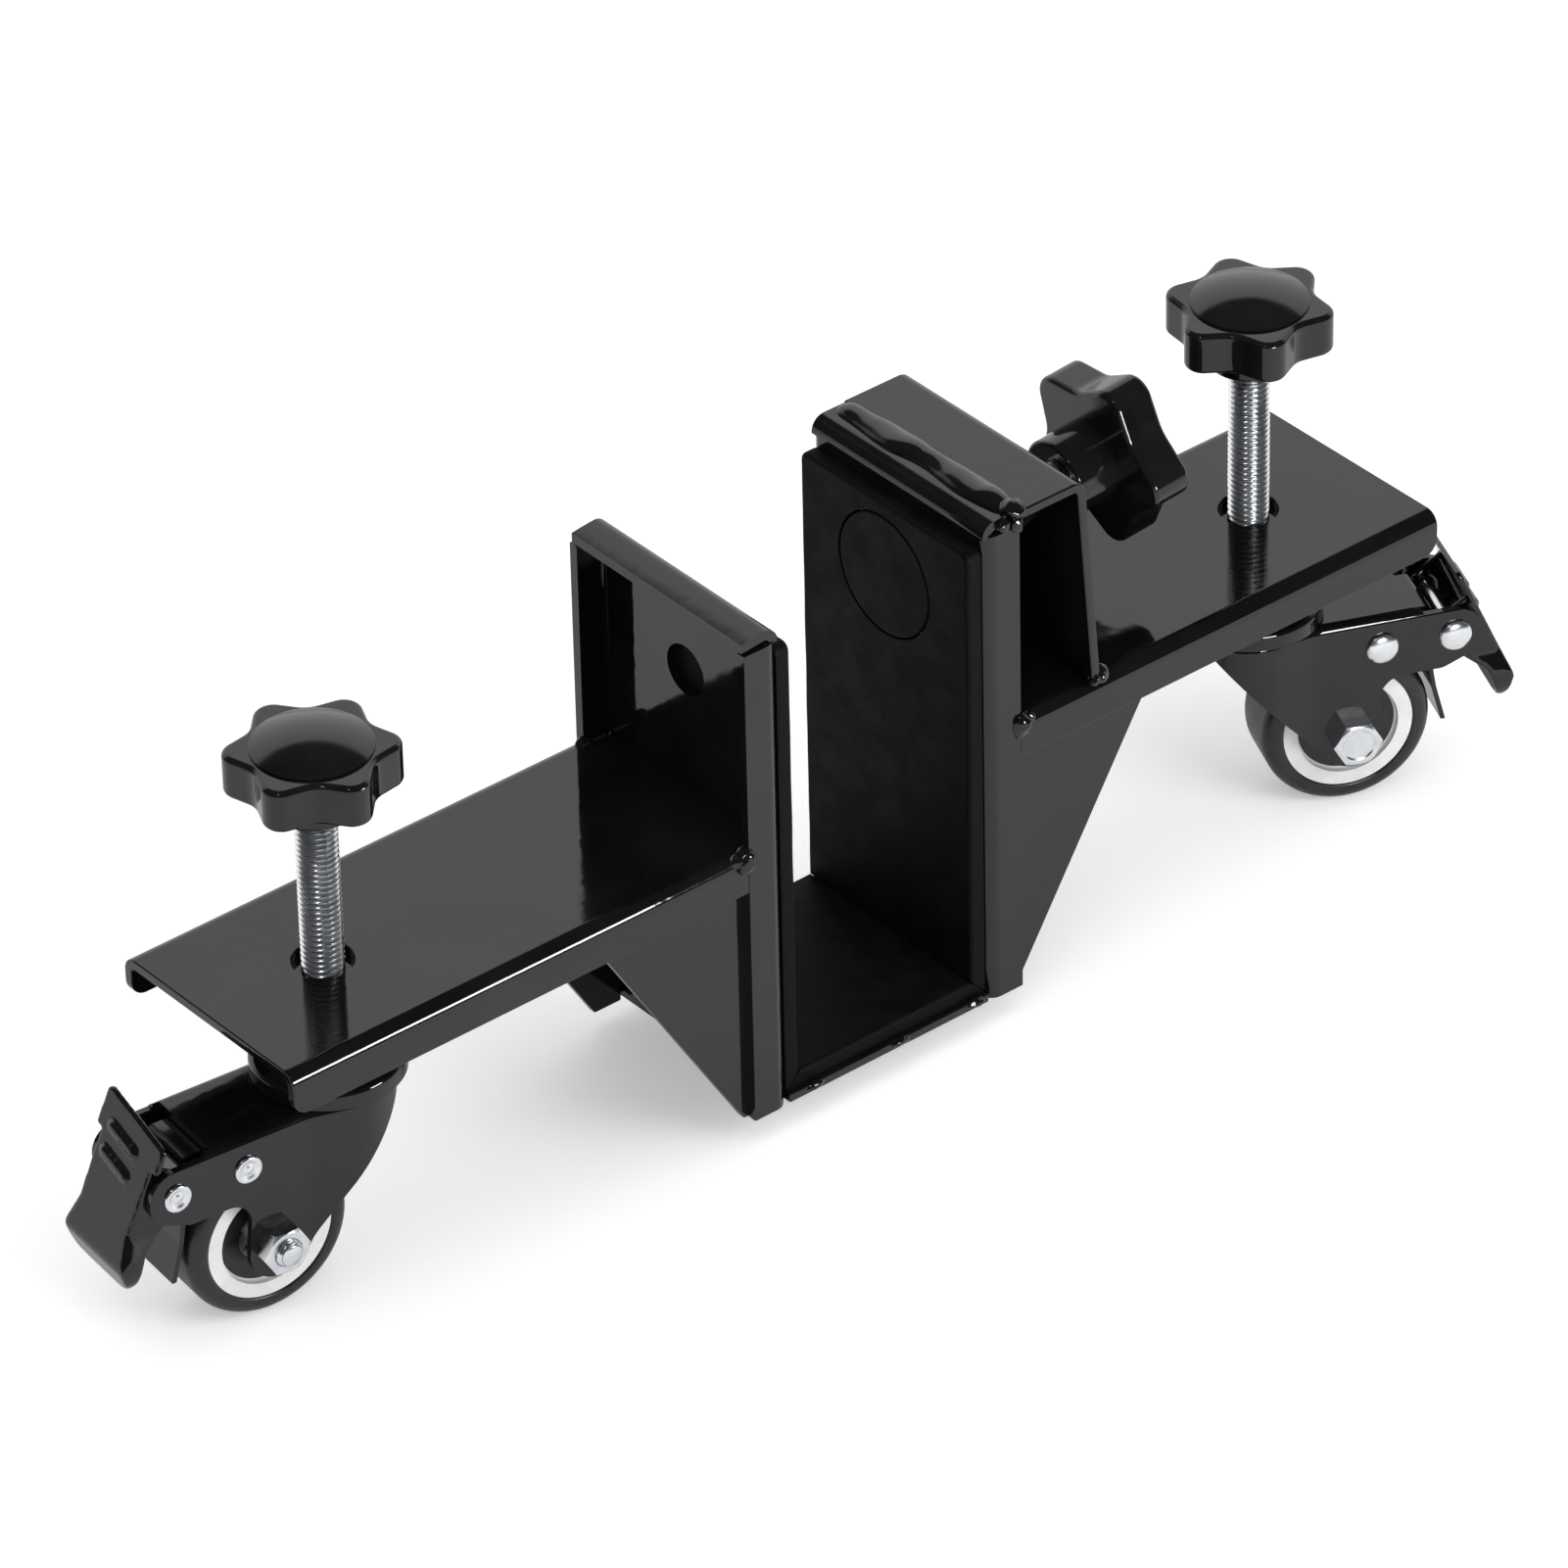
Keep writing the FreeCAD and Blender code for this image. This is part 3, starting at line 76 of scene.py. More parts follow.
def box(node):
    """Lowest corner, highest corner and middle of a CAD node, in millimetres."""
    low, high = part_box(node)
    return low / MM, high / MM, (low + high) / (2 * MM)


def joint_fact(name, fact):
    """A joint's axis, or its place in metres."""
    return Vector(next(joint[fact] for joint in behaviour["joints"] if joint["name"] == name))


def reach_of(node, axis, origin):
    """How far a CAD node reaches along an axis from a place, lowest and highest, in millimetres."""
    start = origin.dot(axis)
    places = [vertex.co.dot(axis) / MM - start for vertex in nodes[node].data.vertices]
    return min(places), max(places)


# Materials

# Most values of a cloudy noise lie between these two.
CLOUD_LOW = 0.35
CLOUD_HIGH = 0.65
CLOUD_DETAIL = 4.0


def new_material(name, sockets):
    """A Principled material with values that are the same all over it set on the shader's own sockets."""
    material = bpy.data.materials.new(name)
    material.use_nodes = True
    shader = material.node_tree.nodes["Principled BSDF"]
    for socket, value in sockets.items():
        shader.inputs[socket].default_value = value
    return material, material.node_tree, shader


def texture_on_piece(tree, kind, size):
    """A texture fixed to the piece itself, with lumps about this many millimetres across."""
    place = tree.nodes.new("ShaderNodeTexCoord")
    texture = tree.nodes.new(kind)
    texture.inputs["Scale"].default_value = 1 / (size * MM)
    tree.links.new(place.outputs["Object"], texture.inputs["Vector"])
    return texture


def speckle(tree, size, detail):
    """Cloudy noise."""
    texture = texture_on_piece(tree, "ShaderNodeTexNoise", size)
    texture.inputs["Detail"].default_value = detail
    return texture.outputs["Fac"]


def cells(tree, size):
    """Rounded grains."""
    return texture_on_piece(tree, "ShaderNodeTexVoronoi", size).outputs["Distance"]


def spread(tree, amount, low, high, start=CLOUD_LOW, end=CLOUD_HIGH):
    """Brings a texture to a range of values."""
    ranging = tree.nodes.new("ShaderNodeMapRange")
    ranging.inputs["From Min"].default_value = start
    ranging.inputs["From Max"].default_value = end
    ranging.inputs["To Min"].default_value = low
    ranging.inputs["To Max"].default_value = high
    tree.links.new(amount, ranging.inputs["Value"])
    return ranging.outputs["Result"]


def tint(tree, amount, dark, light):
    """A colour between two, by a texture."""
    ramp = tree.nodes.new("ShaderNodeValToRGB")
    ramp.color_ramp.elements[0].position = CLOUD_LOW
    ramp.color_ramp.elements[1].position = CLOUD_HIGH
    ramp.color_ramp.elements[0].color = (*dark, 1)
    ramp.color_ramp.elements[1].color = (*light, 1)
    tree.links.new(amount, ramp.inputs["Fac"])
    return ramp.outputs["Color"]


def bump(tree, height, depth, normal=None):
    """Relief of this depth in millimetres, over another relief if one is given."""
    relief = tree.nodes.new("ShaderNodeBump")
    relief.inputs["Strength"].default_value = 1.0
    relief.inputs["Distance"].default_value = depth * MM
    tree.links.new(height, relief.inputs["Height"])
    if normal:
        tree.links.new(normal, relief.inputs["Normal"])
    return relief.outputs["Normal"]


def finish_of(name, sockets, dark, light, smudge, rough, reliefs):
    """A material with clouded colour and gloss. A relief is its size, depth and detail, None for grains."""
    material, tree, shader = new_material(name, sockets)
    cloud = speckle(tree, smudge, CLOUD_DETAIL)
    tree.links.new(tint(tree, cloud, dark, light), shader.inputs["Base Color"])
    tree.links.new(spread(tree, cloud, *rough), shader.inputs["Roughness"])
    normal = None
    for size, depth, detail in reliefs:
        height = cells(tree, size) if detail is None else speckle(tree, size, detail)
        normal = bump(tree, height, depth, normal)
    tree.links.new(normal, shader.inputs["Normal"])
    return material


PAINT = finish_of(
    "gloss_black_paint", {"IOR": 1.52}, dark=(0.0025, 0.0025, 0.0028), light=(0.005, 0.005, 0.0055),
    smudge=30, rough=(0.04, 0.09), reliefs=[(4, 0.022, 1.0), (0.7, 0.001, 2.0)],
)
PLASTIC = finish_of(
    "moulded_black_plastic", {"IOR": 1.5}, dark=(0.0035, 0.0035, 0.0038), light=(0.0065, 0.0065, 0.007),
    smudge=14, rough=(0.07, 0.15), reliefs=[(3, 0.006, 1.0), (0.4, 0.001, 2.0)],
)
ZINC = finish_of(
    "bright_zinc", {"Metallic": 1.0}, dark=(0.73, 0.755, 0.79), light=(0.83, 0.845, 0.865),
    smudge=3, rough=(0.19, 0.24), reliefs=[(0.6, 0.0004, 2.0)],
)
# Zinc for the thread's groove: its higher roughness is real, and its darker colour is painted shade in the
# thread's roots.
GROOVE_SHADED_ZINC = finish_of(
    "rougher_zinc_with_painted_groove_shade", {"Metallic": 1.0}, dark=(0.3, 0.315, 0.34), light=(0.35, 0.365, 0.39),
    smudge=9, rough=(0.36, 0.42), reliefs=[(2.5, 0.0006, 1.0)],
)
RUBBER = finish_of(
    "grained_rubber", {"Specular IOR Level": 0.085}, dark=(0.0022, 0.0022, 0.0024),
    light=(0.0045, 0.0045, 0.0048), smudge=9, rough=(0.5, 0.65), reliefs=[(0.7, 0.03, None), (4, 0.04, 2.0)],
)
TREAD = finish_of(
    "satin_tread", {"IOR": 1.5}, dark=(0.008, 0.008, 0.0085), light=(0.014, 0.014, 0.015),
    smudge=6, rough=(0.26, 0.4), reliefs=[(0.5, 0.006, 2.0)],
)
CORE = finish_of(
    "white_core", {"IOR": 1.48}, dark=(0.84, 0.825, 0.82), light=(0.91, 0.9, 0.895),
    smudge=5, rough=(0.3, 0.45), reliefs=[(0.6, 0.005, 2.0)],
)
STEEL = finish_of(
    "ground_steel", {"Metallic": 1.0}, dark=(0.42, 0.42, 0.43), light=(0.6, 0.6, 0.61),
    smudge=2, rough=(0.25, 0.4), reliefs=[(0.25, 0.003, 3.0)],
)
FINISH = {
    "black_paint": PAINT, "knob_plastic": PLASTIC, "zinc": ZINC, "pad_rubber": RUBBER,
    "tread": TREAD, "core_white": CORE, "bearing_steel": STEEL,
}
for solid in nodes.values():
    for slot in solid.material_slots:
        slot.material = FINISH[slot.material.name]


# Making pieces

def add_piece(mesh, slot, body, stands_for=(), sharp=35):
    """Shows a mesh as a piece that rides on a body and takes a slot's finish."""
    mesh.materials.clear()
    mesh.materials.append(FINISH[slot])
    for face in mesh.polygons:
        face.use_smooth = True
    mesh.set_sharp_from_angle(angle=math.radians(sharp))
    thing = bpy.data.objects.new(mesh.name, mesh)
    bpy.context.scene.collection.objects.link(thing)
    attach(thing, body)
    if stands_for:
        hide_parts(*stands_for)
    return thing


def shade_evenly(piece):
    """Keeps broad faces plain beside their rounded edges."""
    even = piece.modifiers.new("even_shading", "WEIGHTED_NORMAL")
    even.keep_sharp = True


def mesh_of_points(name, points, faces):
    """A mesh from points in millimetres."""
    mesh = bpy.data.meshes.new(name)
    mesh.from_pydata([Vector(point) * MM for point in points], [], faces)
    mesh.validate()
    return mesh


def mesh_of_shape(name, shape):
    """A mesh from an edited shape, which is freed."""
    mesh = bpy.data.meshes.new(name)
    shape.to_mesh(mesh)
    shape.free()
    return mesh


def ring_faces(rings, count, closed=False):
    """Quads between rings of points that follow each other."""
    faces = []
    for ring in range(rings if closed else rings - 1):
        here = ring * count
        there = (ring + 1) % rings * count
        for spot in range(count):
            after = (spot + 1) % count
            faces.append((here + spot, here + after, there + after, there + spot))
    return faces


def capped_faces(rings, count):
    """Quads between rings of points, with a cap on the first ring and on the last."""
    last = (rings - 1) * count
    caps = [tuple(reversed(range(count))), tuple(range(last, last + count))]
    return ring_faces(rings, count) + caps


def axes_of(axis):
    """Two directions square to an axis and to each other, right-handed with it."""
    first = axis.orthogonal().normalized()
    return first, axis.cross(first)


def spoke(axes, turn):
    """The direction between two square ones at a share of a turn."""
    angle = 2 * math.pi * turn
    return axes[0] * math.cos(angle) + axes[1] * math.sin(angle)


# Threaded rods

# A thread is its pitch, its radius at the crest and its radius at the root.
LARGE_THREAD = (1.75, 6.0, 5.05)
SMALL_THREAD = (1.25, 3.95, 3.3)
ROD_SIDES = 32
RINGS_PER_TURN = 6
# Crest and root are flat for this share of half a pitch, to each side.
THREAD_FLAT = 0.15
# The end's chamfer, as a share of the crest's radius.
ROD_CHAMFER = 0.2
# Painted shade: the darker zinc that stands for shade in the thread's root reaches this share of the way
# from root to crest.
SHADED_GROOVE_SHARE = 0.2
# The pin that turns in the pressure disc, as place from its tip and radius.
CLAMP_PIN = ((0, 4.1), (0.2, 4.5), (0.7, 4.5), (0.7, 3.0), (4.5, 3.0))
CLAMP_THREAD_START = 4.6


def thread_radius(thread, along, turn):
    """Radius of a thread at a place along it and a share of a turn."""
    pitch, crest, root = thread
    phase = abs((along / pitch - turn) % 1.0 - 0.5) * 2
    rise = min(1.0, max(0.0, (1 - THREAD_FLAT - phase) / (1 - 2 * THREAD_FLAT)))
    return root + (crest - root) * rise


def threaded_rod(name, stands_for, origin, axis, start, end, body, thread=LARGE_THREAD, pin=()):
    """A rod with a rolled thread and a chamfered end, after a plain pin of (place, radius) pairs, its groove
    painted darker as shade.
    """
    axes = axes_of(axis)
    pitch, crest, root = thread
    steps = math.ceil((end - start) / (pitch / RINGS_PER_TURN))
    places = list(pin)
    places += [(start + (end - start) * step / steps, None) for step in range(steps + 1)]
    points = []
    for place, radius in places:
        limit = crest - max(0.0, ROD_CHAMFER * crest - (end - place))
        for spot in range(ROD_SIDES):
            turn = spot / ROD_SIDES
            reach = radius if radius is not None else min(limit, thread_radius(thread, place, turn))
            points.append(origin + axis * place + spoke(axes, turn) * reach)
    faces = capped_faces(len(places), ROD_SIDES)
    mesh = add_piece(mesh_of_points(name, points, faces), "zinc", body, stands_for, sharp=60).data
    # Faces deep in the thread's groove take the darker zinc, which is painted shade in the roots.
    mesh.materials.append(GROOVE_SHADED_ZINC)
    painted_shade_radius = ((1 - SHADED_GROOVE_SHARE) * root + SHADED_GROOVE_SHARE * crest) * MM
    for face in mesh.polygons:
        reach = face.center - origin * MM
        along = reach.dot(axis)
        if start * MM < along < end * MM and (reach - axis * along).length < painted_shade_radius:
            face.material_index = 1


for side in SIDES:
    low, high, middle = box(f"{side}_lift_screw")
    foot = Vector((middle.x, middle.y, low.z))
    threaded_rod(
        f"{side}_threaded_rod", [f"{side}_lift_screw"], foot, UP, 0, high.z - low.z, f"{side}_spindle",
    )

clamp_axis = -joint_fact("clamp_turn", "axis")
clamp_place = joint_fact("clamp_turn", "pos_m") / MM
tip, knob_end = reach_of("clamp_screw", clamp_axis, clamp_place)
threaded_rod(
    "clamp_threaded_rod", ["clamp_screw"], clamp_place, clamp_axis, tip + CLAMP_THREAD_START, knob_end,
    "clamp_spindle", pin=[(tip + place, radius) for place, radius in CLAMP_PIN],
)

# Turned and six-sided pieces

LATHE_SIDES = 56
HEXAGON_SIDES = 72
HEXAGON_FLATS = 7.5 * math.cos(math.pi / 6)
# The turned face ends at this share of the flats, and the corners fall away from there at this slope.
CHAMFER_START = 0.97
CHAMFER_SLOPE = 0.55
# A hexagon's sunk middle is a radius and a depth, with a bevel round it.
NUT_MOUTH = (4.0, -0.5)
BOLT_DISH = (4.6, -0.35)
MOUTH_BEVEL = 0.5
AXLE_RADIUS = 4.0
# The axle's thread starts this far inside the cheek, and its plain shank ends a little before.
AXLE_THREAD = 4.0
AXLE_RUNOUT = 0.5
RIVET_HEAD = 5.0
RIVET_RIM = 0.25
RIVET_TAIL = 4.2
RIVET_SHANK = 2.5
RIVET_WAIST = 2.4
DOME_STEPS = 8
DOME_TIP = 0.05
# Profiles as radius and place from the outer face.
CLENCHED_END = (
    (4.2, -0.35), (3.9, 0), (2.9, 0), (2.3, -0.6), (1.6, -0.6), (1.1, -0.2), (0.3, -0.1),
)
BEARING = (
    (13.0, -7), (13.0, -0.4), (12.6, 0), (11.3, 0), (11.1, -0.5),
    (8.4, -0.5), (8.2, 0), (6.2, 0), (5.8, -0.4), (5.7, -7),
)
SEAL = (
    (8.6, -0.6), (8.8, 0.1), (12.6, 0.1), (13.0, 0.2), (14.5, 0.2), (14.75, -0.1), (14.75, -0.6),
)


def moved(profile, place):
    """A profile moved along its axis."""
    return [(radius, place + along) for radius, along in profile]


def dome(radius, height, start):
    """Profile of a domed head from its rim to its top."""
    pairs = []
    for step in range(DOME_STEPS + 1):
        angle = math.pi / 2 * step / DOME_STEPS
        pairs.append((max(DOME_TIP, radius * math.cos(angle)), start + height * math.sin(angle)))
    return pairs


def lathe(name, origin, axis, profile, slot, body, stands_for=(), hollow=False, sharp=35):
    """A piece turned about an axis from pairs of radius and place along, a ring if it is hollow."""
    axes = axes_of(axis)
    points = []
    for radius, along in profile:
        for spot in range(LATHE_SIDES):
            points.append(origin + axis * along + spoke(axes, spot / LATHE_SIDES) * radius)
    if hollow:
        faces = ring_faces(len(profile), LATHE_SIDES, closed=True)
    else:
        faces = capped_faces(len(profile), LATHE_SIDES)
    add_piece(mesh_of_points(name, points, faces), slot, body, stands_for, sharp)


def hexagon_piece(name, stands_for, origin, axis, corner, height, mouth, body):
    """A hexagon head or nut with chamfered corners and a turned face, its mouth sunk at the middle."""
    axes = (corner, axis.cross(corner))
    chamfer = HEXAGON_FLATS * CHAMFER_START
    mouth_radius, mouth_drop = mouth
    columns = []
    for spot in range(HEXAGON_SIDES):
        angle = 2 * math.pi * spot / HEXAGON_SIDES
        out = spoke(axes, spot / HEXAGON_SIDES)
        wide = HEXAGON_FLATS / math.cos(angle % (math.pi / 3) - math.pi / 6)
        levels = (
            (wide, 0), (wide, height - (wide - chamfer) * CHAMFER_SLOPE), (chamfer, height),
            (mouth_radius + MOUTH_BEVEL, height), (mouth_radius, height + mouth_drop),
        )
        columns.append([origin + out * radius + axis * along for radius, along in levels])
    rings = list(zip(*columns))
    points = [point for ring in rings for point in ring]
    faces = capped_faces(len(rings), HEXAGON_SIDES)
    add_piece(mesh_of_points(name, points, faces), "zinc", body, stands_for, sharp=20)


for side in SIDES:
    across = joint_fact(f"{side}_wheel_spin", "axis")
    along = across.cross(UP)
    caster = f"{side}_caster"
    middle = box(f"{side}_axle_sleeve")[2]
    cheek, nut_end = reach_of(f"{side}_axle_nut", across, middle)
    bolt_low, bolt_high = reach_of(f"{side}_axle_bolt", across, middle)
    hexagon_piece(
        f"{side}_axle_hexagon_nut", [f"{side}_axle_nut"], middle + across * cheek, across, along,
        nut_end - cheek, NUT_MOUTH, caster,
    )
    hexagon_piece(
        f"{side}_axle_bolt_head", [f"{side}_axle_bolt"], middle - across * cheek, -across, along,
        -cheek - bolt_low, BOLT_DISH, caster,
    )
    thread_start = cheek - AXLE_THREAD
    threaded_rod(
        f"{side}_axle_shank", [f"{side}_axle_bolt"], middle, across, thread_start, bolt_high, caster,
        SMALL_THREAD, pin=[(-cheek, AXLE_RADIUS), (thread_start - AXLE_RUNOUT, AXLE_RADIUS)],
    )
    rivets = f"{side}_brake_rivets"
    head_end, tail_end = reach_of(rivets, across, middle)
    inner, outer = reach_of(rivets, along, middle)
    rise = box(rivets)[2].z - middle.z
    head = [(RIVET_HEAD, cheek)] + dome(RIVET_HEAD, -cheek - head_end - RIVET_RIM, cheek + RIVET_RIM)
    tail = [(RIVET_TAIL, cheek)] + moved(CLENCHED_END, tail_end)
    shank = [(RIVET_SHANK, -cheek), (RIVET_WAIST, 0), (RIVET_SHANK, cheek)]
    forms = (("head", -across, head), ("tail", across, tail), ("shank", across, shank))
    for name, place in (("shoe", inner + RIVET_HEAD), ("pedal", outer - RIVET_HEAD)):
        spot = middle + along * place + UP * rise
        for form, way, profile in forms:
            lathe(f"{side}_{name}_rivet_{form}", spot, way, profile, "zinc", caster, [rivets], sharp=50)
    wheel = f"{side}_wheel"
    bearings = f"{side}_wheel_bearings"
    face = reach_of(bearings, across, middle)[1]
    for name, way in (("near", across), ("far", -across)):
        lathe(
            f"{side}_{name}_bearing", middle, way, moved(BEARING, face), "bearing_steel", wheel, [bearings],
            hollow=True,
        )
        lathe(f"{side}_{name}_seal", middle, way, moved(SEAL, face), "tread", wheel, hollow=True)

# Rubber liners

LINER_ROUNDING = 1.3
OPENING_ROUNDING = 0.3
DISC_ROUNDING = 0.5
LOWER_CORNER = 0.1
UPPER_CORNER = 3
FLOOR_CORNER = 0.4
DISC_CLEARANCE = 0.45
MITRE_GAP = 0.15
CORNER_STEPS = 6
ROUNDING_STEPS = 4
CIRCLE_POINTS = 72
POINT_GAP = 2.5
# The edge waves by this share of its rounding, over this length.
WAVES = 0.27
WAVE_LENGTH = 14
# The back of the sheet is drawn in, and its side starts this high.
BACK_INSET = 0.25
BACK_RISE = 0.7
floor_low, floor_high, _ = box("floor_pad")
floor_length = floor_high.x - floor_low.x


def rounded_loop(width, height, corners):
    """Points round a rectangle, counter-clockwise, with its four corners rounded."""
    middles = []
    for (across, up), radius in zip(((0, 0), (1, 0), (1, 1), (0, 1)), corners):
        middles.append((width - radius if across else radius, height - radius if up else radius, radius))
    points = []
    for index, (x, y, radius) in enumerate(middles):
        for step in range(CORNER_STEPS + 1):
            angle = math.pi * (1 + index / 2 + step / (2 * CORNER_STEPS))
            points.append(Vector((x + radius * math.cos(angle), y + radius * math.sin(angle))))
    loop = []
    for here, there in zip(points, points[1:] + points[:1]):
        steps = max(1, round((there - here).length / POINT_GAP))
        for step in range(steps):
            loop.append(here.lerp(there, step / steps))
    return loop


def circle_loop(x, y, radius, way=1):
    """Points round a circle, counter-clockwise, or clockwise for an opening."""
    loop = []
    for spot in range(CIRCLE_POINTS):
        angle = way * 2 * math.pi * spot / CIRCLE_POINTS
        loop.append(Vector((x + radius * math.cos(angle), y + radius * math.sin(angle))))
    return loop


def drawn_in(loop, depth, waves):
    """A loop moved to its left by a depth, with the edge waving gently."""
    moved_points = []
    for index, point in enumerate(loop):
        heading = (loop[(index + 1) % len(loop)] - loop[index - 1]).normalized()
        wave = waves * (0.5 + 0.5 * noise.noise(Vector((point.x, point.y, 0)) / WAVE_LENGTH))
        moved_points.append(point + Vector((-heading.y, heading.x)) * (depth + wave))
    return moved_points


def edge_rings(thick, rounding):
    """How far in, how high and how wavy a liner's edge is at each step from its back to its face."""
    waves = WAVES * rounding
    rings = [(BACK_INSET, 0.0, waves / 2), (0.0, BACK_RISE, waves), (0.0, thick - rounding, waves)]
    for step in range(1, ROUNDING_STEPS + 1):
        angle = math.pi / 2 * step / ROUNDING_STEPS
        rise = thick - rounding + rounding * math.sin(angle)
        rings.append((rounding - rounding * math.cos(angle), rise, waves))
    return rings


def rubber_sheet(name, node, corner, across, up, loops, thick, trim):
    """A rubber sheet with soft wavy edges, each loop with its rounding. It is trimmed at each depth."""
    out = across.cross(up)
    shape = bmesh.new()
    back_edges = []
    face_edges = []
    for loop, rounding in loops:
        rows = []
        for inset, depth, waves in edge_rings(thick, rounding):
            row = []
            for point in drawn_in(loop, inset, waves):
                place, height = trim(point.x, point.y, depth)
                row.append(shape.verts.new((corner + across * place + up * height + out * depth) * MM))
            rows.append(row)
        for row, edges in ((rows[0], back_edges), (rows[-1], face_edges)):
            for here, there in zip(row, row[1:] + row[:1]):
                edges.append(shape.edges.new((here, there)))
        for row, following in zip(rows, rows[1:]):
            count = len(row)
            for spot in range(count):
                after = (spot + 1) % count
                shape.faces.new((row[spot], row[after], following[after], following[spot]))
    for edges in (back_edges, face_edges):
        bmesh.ops.triangle_fill(shape, use_beauty=True, edges=edges)
    bmesh.ops.recalc_face_normals(shape, faces=shape.faces)
    piece = add_piece(mesh_of_shape(name, shape), "pad_rubber", body_of_node[node], [node], sharp=60)
    shade_evenly(piece)


def mitred_below(place, height, depth):
    """Trims the lower end of a side liner to a mitre."""
    return place, max(height, depth + MITRE_GAP)


def mitred_at_ends(place, height, depth):
    """Trims both ends of the floor liner to mitres."""
    return min(floor_length - depth - MITRE_GAP, max(depth + MITRE_GAP, place)), height


def untrimmed(place, height, depth):
    """Leaves the round liner as it is at every depth."""
    return place, height


disc_low, disc_high, disc_middle = box("disc_pad")
disc_radius = (disc_high.y - disc_low.y) / 2
low, high, _ = box("right_pad")
thick = high.x - low.x
side_corners = (LOWER_CORNER, LOWER_CORNER, UPPER_CORNER, UPPER_CORNER)
side_loop = rounded_loop(high.y - low.y, high.z - low.z, side_corners)
opening_radius = disc_radius + DISC_CLEARANCE
opening = circle_loop(high.y - disc_middle.y, disc_middle.z - low.z, opening_radius, way=-1)
corner = Vector((high.x, high.y, low.z))
right_loops = [(side_loop, LINER_ROUNDING), (opening, OPENING_ROUNDING)]
rubber_sheet("right_liner", "right_pad", corner, -NORTH, UP, right_loops, thick, mitred_below)
corner = box("left_pad")[0]
left_loops = [(side_loop, LINER_ROUNDING)]
rubber_sheet("left_liner", "left_pad", corner, NORTH, UP, left_loops, thick, mitred_below)
thick = floor_high.z - floor_low.z
floor_loop = rounded_loop(floor_length, floor_high.y - floor_low.y, (FLOOR_CORNER,) * 4)
floor_loops = [(floor_loop, LINER_ROUNDING)]
rubber_sheet("floor_liner", "floor_pad", floor_low, EAST, NORTH, floor_loops, thick, mitred_at_ends)
thick = disc_high.x - disc_low.x
corner = Vector((disc_high.x, disc_middle.y, disc_middle.z))
disc_loops = [(circle_loop(0, 0, disc_radius), DISC_ROUNDING)]
rubber_sheet("disc_liner", "disc_pad", corner, -NORTH, UP, disc_loops, thick, untrimmed)

# Welds

BEAD_STEP = 0.6
BEAD_SIDES = 18
# The bead's edges dip into the steel by this share of half a turn. Its ends close the more abruptly, the
# longer it is against this length, and keep a small blunt tip.
BEAD_DIP = 0.06
BEAD_END = 6.0
BEAD_TIP = 0.02
# Unevenness of a bead's width, height and line, and the length over which each changes.
SWELL = 0.25
SWELL_LENGTH = 12
TALLER = 0.35
WANDER = 0.9
RIPPLE_LENGTH = 11
TALLER_SEED = Vector((3, 0, 0))
WANDER_SEED = Vector((7, 0, 0))
# A blob's broad and fine lumps, as shares of its size, and how close they lie.
BROAD_LUMP = 0.22
BROAD_RATE = 1.1
FINE_LUMP = 0.05
FINE_RATE = 3
SEED_STEP = 3.7
BASE_TACKS = (0.13, 0.55, 0.93)


def weld_bead(name, start, end, up, width, height):
    """A run of weld: a low smooth hump with uneven edges and rounded ends."""
    length = (end - start).length
    heading = (end - start) / length
    across = heading.cross(up)
    steps = round(length / BEAD_STEP)
    points = []
    for step in range(steps + 1):
        share = step / steps
        place = start + heading * (length * share)
        swell = 1 + SWELL * noise.noise(place / SWELL_LENGTH)
        tall = 1 + TALLER * noise.noise(place / RIPPLE_LENGTH + TALLER_SEED)
        close = math.sqrt(max(BEAD_TIP, 1 - abs(2 * share - 1) ** (length / BEAD_END)))
        middle = place + across * (WANDER * noise.noise(place / RIPPLE_LENGTH + WANDER_SEED))
        for spot in range(BEAD_SIDES):
            angle = math.pi * ((1 + 2 * BEAD_DIP) * spot / (BEAD_SIDES - 1) - BEAD_DIP)
            out = across * (math.cos(angle) * swell * width / 2) + up * (math.sin(angle) * tall * height)
            points.append(middle + out * close)
    faces = capped_faces(steps + 1, BEAD_SIDES)
    piece = add_piece(mesh_of_points(name, points, faces), "black_paint", "frame", ["weld_beads"], sharp=80)
    smooth = piece.modifiers.new("smooth", "SUBSURF")
    smooth.levels = 1
    smooth.render_levels = 1


def weld_blob(name, place, reach, seed):
    """A lump of weld: a rounded pool that has run and set unevenly."""
    shape = bmesh.new()
    bmesh.ops.create_icosphere(shape, subdivisions=4, radius=1.0)
    for vert in shape.verts:
        way = vert.co.copy()
        lump = 1 + BROAD_LUMP * noise.noise(way * BROAD_RATE + Vector((seed, 0, 0)))
        lump += FINE_LUMP * noise.noise(way * FINE_RATE + Vector((0, seed, 0)))
        vert.co = (place + way * Vector(reach) * lump) * MM
    add_piece(mesh_of_shape(name, shape), "black_paint", "frame", sharp=80)


upright_low, upright_high, _ = box("right_upright")
base_low, base_high, _ = box("base_plate")
rim = upright_high.x
front = upright_low.y
top = upright_high.z
deck = box("right_arm")[1].z
bracket_end = box("clamp_bracket")[1].x
to_far_side = Vector((1, -1, 1))
leaning = Vector((1, 0, 1)).normalized()
run = Vector((rim - 1.8, front + 1.5, top - 0.3))
weld_bead("bracket_top_weld", run, run * to_far_side, UP, width=9.6, height=2.6)
run = Vector((bracket_end - 0.5, front + 7, deck - 0.5))
weld_bead("bracket_foot_weld", run, run * to_far_side, leaning, width=6.0, height=2.8)
